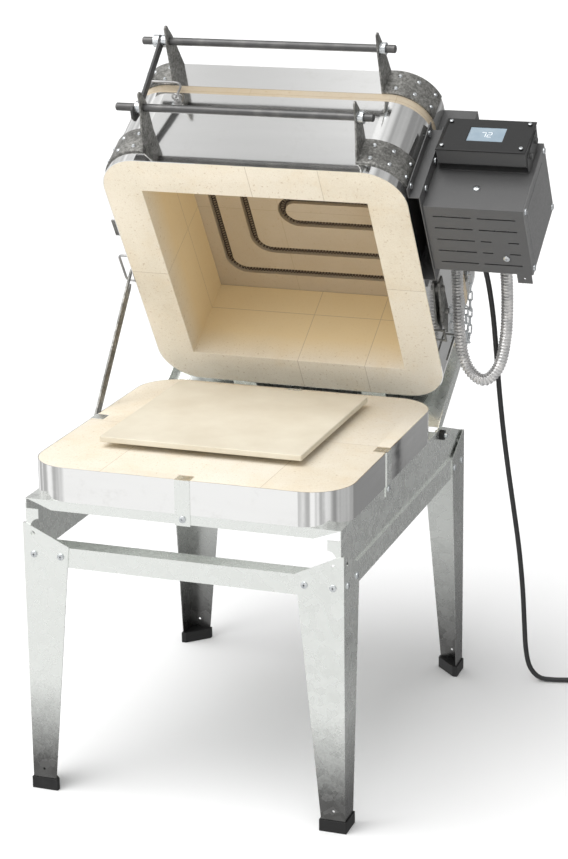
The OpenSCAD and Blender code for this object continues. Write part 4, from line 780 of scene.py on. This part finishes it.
# ---- face of the display: corner screws and a plain temperature
display = {"corner": (268, 427, 76), "lean": 7, "width": 132, "height": 77, "depth": 32, "plate": 2.5,
           "screwIn": 7, "screwUp": 8, "screwOut": 1.6, "screwSize": 0.56, "digits": "72",
           "digitHigh": 11, "digitWide": 6, "stroke": 1.3, "gap": 3, "digitUp": 3, "digitOut": 1.35,
           "inkThick": 0.3, "inkEase": 0.4}
strokes = {"7": "abc", "2": "abged"}
headPlace = (chamberPlace @ Matrix.Scale(mm, 4)
             @ Matrix.Translation((display["corner"][0], -display["corner"][1], display["corner"][2]))
             @ Matrix.Rotation(math.radians(-display["lean"]), 4, "X"))


def makeDisplayFace():
    d = display
    mesh = bmesh.new()
    for x in (d["screwIn"], d["width"] - d["screwIn"]):
        for z in (d["screwUp"], d["height"] - d["screwUp"]):
            spot = (Matrix.Translation((x, -d["depth"] - d["plate"] - d["screwOut"], z))
                    @ Matrix.Rotation(math.pi / 2, 4, "X"))
            addScrew(mesh, headPlace @ spot, d["screwSize"])
    finishPiece("display_screws", mesh, "bright", "chamber", smooth=30)
    mesh = bmesh.new()
    w, h, t = d["digitWide"], d["digitHigh"], d["stroke"]
    bars = {"a": (0, h / 2, w, t), "g": (0, 0, w, t), "d": (0, -h / 2, w, t),
            "b": (w / 2, h / 4, t, h / 2), "c": (w / 2, -h / 4, t, h / 2),
            "e": (-w / 2, -h / 4, t, h / 2)}
    upright = (headPlace.to_3x3() @ Vector((0, 1, 0))).normalized()
    for i, digit in enumerate(d["digits"]):
        middle = d["width"] / 2 + (i - (len(d["digits"]) - 1) / 2) * (w + d["gap"])
        for letter in strokes[digit]:
            x, z, wide, high = bars[letter]
            place = headPlace @ Matrix.Translation((
                middle + x, -d["depth"] - d["digitOut"], d["height"] / 2 + d["digitUp"] + z))
            size = Matrix.Diagonal((wide, d["inkThick"], high, 1))
            bar = bmesh.ops.create_cube(mesh, size=1, matrix=place @ size)["verts"]
            corners = dict.fromkeys(
                e for v in bar for e in v.link_edges
                if abs((e.verts[0].co - e.verts[1].co).normalized().dot(upright)) > 0.9)
            bmesh.ops.bevel(mesh, geom=list(corners), offset=d["inkEase"] * mm, affect="EDGES",
                            segments=2, profile=0.5, material=-1)
    finishPiece("display_number", mesh, "digits", "chamber")


makeDisplayFace()
print("display made")

# ---- chain between the lid's strap and the chamber's bolt
def makeChain():
    mesh = bmesh.new()
    mesh.from_mesh(nodes["stay_chain"].data)
    bmesh.ops.remove_doubles(mesh, verts=mesh.verts, dist=easing["merge"])
    piece = finishPiece("chain_links", mesh, "bright", None, ["stay_chain"], smooth=50)
    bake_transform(piece)


makeChain()
print("chain made")

# ---- floor, light and backdrop
stage = {
    "floor": 30, "tone": 0.92,
    "lowSky": 0.86, "highSky": 0.95,         # sky strength below and above
    "dimTowards": (0.76, 0.65, 0), "dim": 0.52,   # the studio is dark behind on the right
    "sun": 2.1, "sunSize": 60, "sunFrom": (-0.28, -0.36, 0.9),
    "patchScale": 4, "patches": (0.6, 1.2),
    "fill": 4, "fillSize": 1.6, "fillPlace": (-1.6, -2.4, 1.2),
}


def makeStage():
    mesh = bmesh.new()
    bmesh.ops.create_grid(mesh, x_segments=1, y_segments=1, size=stage["floor"])
    data = bpy.data.meshes.new("floor")
    mesh.to_mesh(data)
    mesh.free()
    look = Look("floorPaper", Roughness=0.9)
    look.feed(Base_Color=look.ramp(
        look.noise(0.6, 2), (0.3, grey(stage["tone"])), (0.7, grey(stage["tone"] + 0.02))))
    data.materials.append(look.material)
    floor = bpy.data.objects.new("floor", data)
    bpy.context.scene.collection.objects.link(floor)
    floor.visible_glossy = False   # polished sheets mirror the studio instead
    world = bpy.data.worlds.new("studio")
    world.use_nodes = True
    tree = world.node_tree
    aim = tree.nodes.new("ShaderNodeTexCoord")
    split = tree.nodes.new("ShaderNodeSeparateXYZ")
    tree.links.new(aim.outputs["Generated"], split.inputs[0])
    shares = []
    towards = tree.nodes.new("ShaderNodeVectorMath")
    towards.operation = "DOT_PRODUCT"
    towards.inputs[1].default_value = stage["dimTowards"]
    tree.links.new(aim.outputs["Generated"], towards.inputs[0])
    for socket, low, high, dark, light in (
            (split.outputs["Z"], -0.2, 0.7, stage["lowSky"], stage["highSky"]),
            (towards.outputs["Value"], 0.75, -0.1, stage["dim"], 1.0)):
        share = tree.nodes.new("ShaderNodeMapRange")
        for name, value in (
                ("From Min", low), ("From Max", high), ("To Min", dark), ("To Max", light)):
            share.inputs[name].default_value = value
        tree.links.new(socket, share.inputs["Value"])
        shares.append(share)
    patches = tree.nodes.new("ShaderNodeTexNoise")   # soft boxes and dark gaps of the studio
    patches.inputs["Scale"].default_value = stage["patchScale"]
    patches.inputs["Detail"].default_value = 1
    tree.links.new(aim.outputs["Generated"], patches.inputs["Vector"])
    patchShare = tree.nodes.new("ShaderNodeMapRange")
    dark, light = stage["patches"]
    for name, value in (("From Min", 0.4), ("From Max", 0.6), ("To Min", dark), ("To Max", light)):
        patchShare.inputs[name].default_value = value
    tree.links.new(patches.outputs["Fac"], patchShare.inputs["Value"])
    gradient = tree.nodes.new("ShaderNodeMath")
    gradient.operation = "MULTIPLY"
    product = tree.nodes.new("ShaderNodeMath")
    product.operation = "MULTIPLY"
    for side, share in enumerate(shares):
        tree.links.new(share.outputs[0], gradient.inputs[side])
    tree.links.new(gradient.outputs[0], product.inputs[0])
    tree.links.new(patchShare.outputs[0], product.inputs[1])
    tree.links.new(product.outputs[0], tree.nodes["Background"].inputs["Strength"])
    tree.nodes["Background"].inputs["Color"].default_value = (1, 1, 1, 1)
    bpy.context.scene.world = world
    bpy.context.scene.view_settings.view_transform = "Standard"
    sun = bpy.data.lights.new("sun", "SUN")
    sun.energy, sun.angle = stage["sun"], math.radians(stage["sunSize"])
    fill = bpy.data.lights.new("fill", "AREA")
    fill.energy, fill.size = stage["fill"], stage["fillSize"]
    for light, place in ((sun, Vector(stage["sunFrom"]) * 4), (fill, Vector(stage["fillPlace"]))):
        holder = bpy.data.objects.new(light.name, light)
        bpy.context.scene.collection.objects.link(holder)
        holder.location = place
        holder.rotation_euler = (Vector((0, 0, 0.5)) - place).to_track_quat("-Z", "Y").to_euler()


makeStage()
print("stage made")
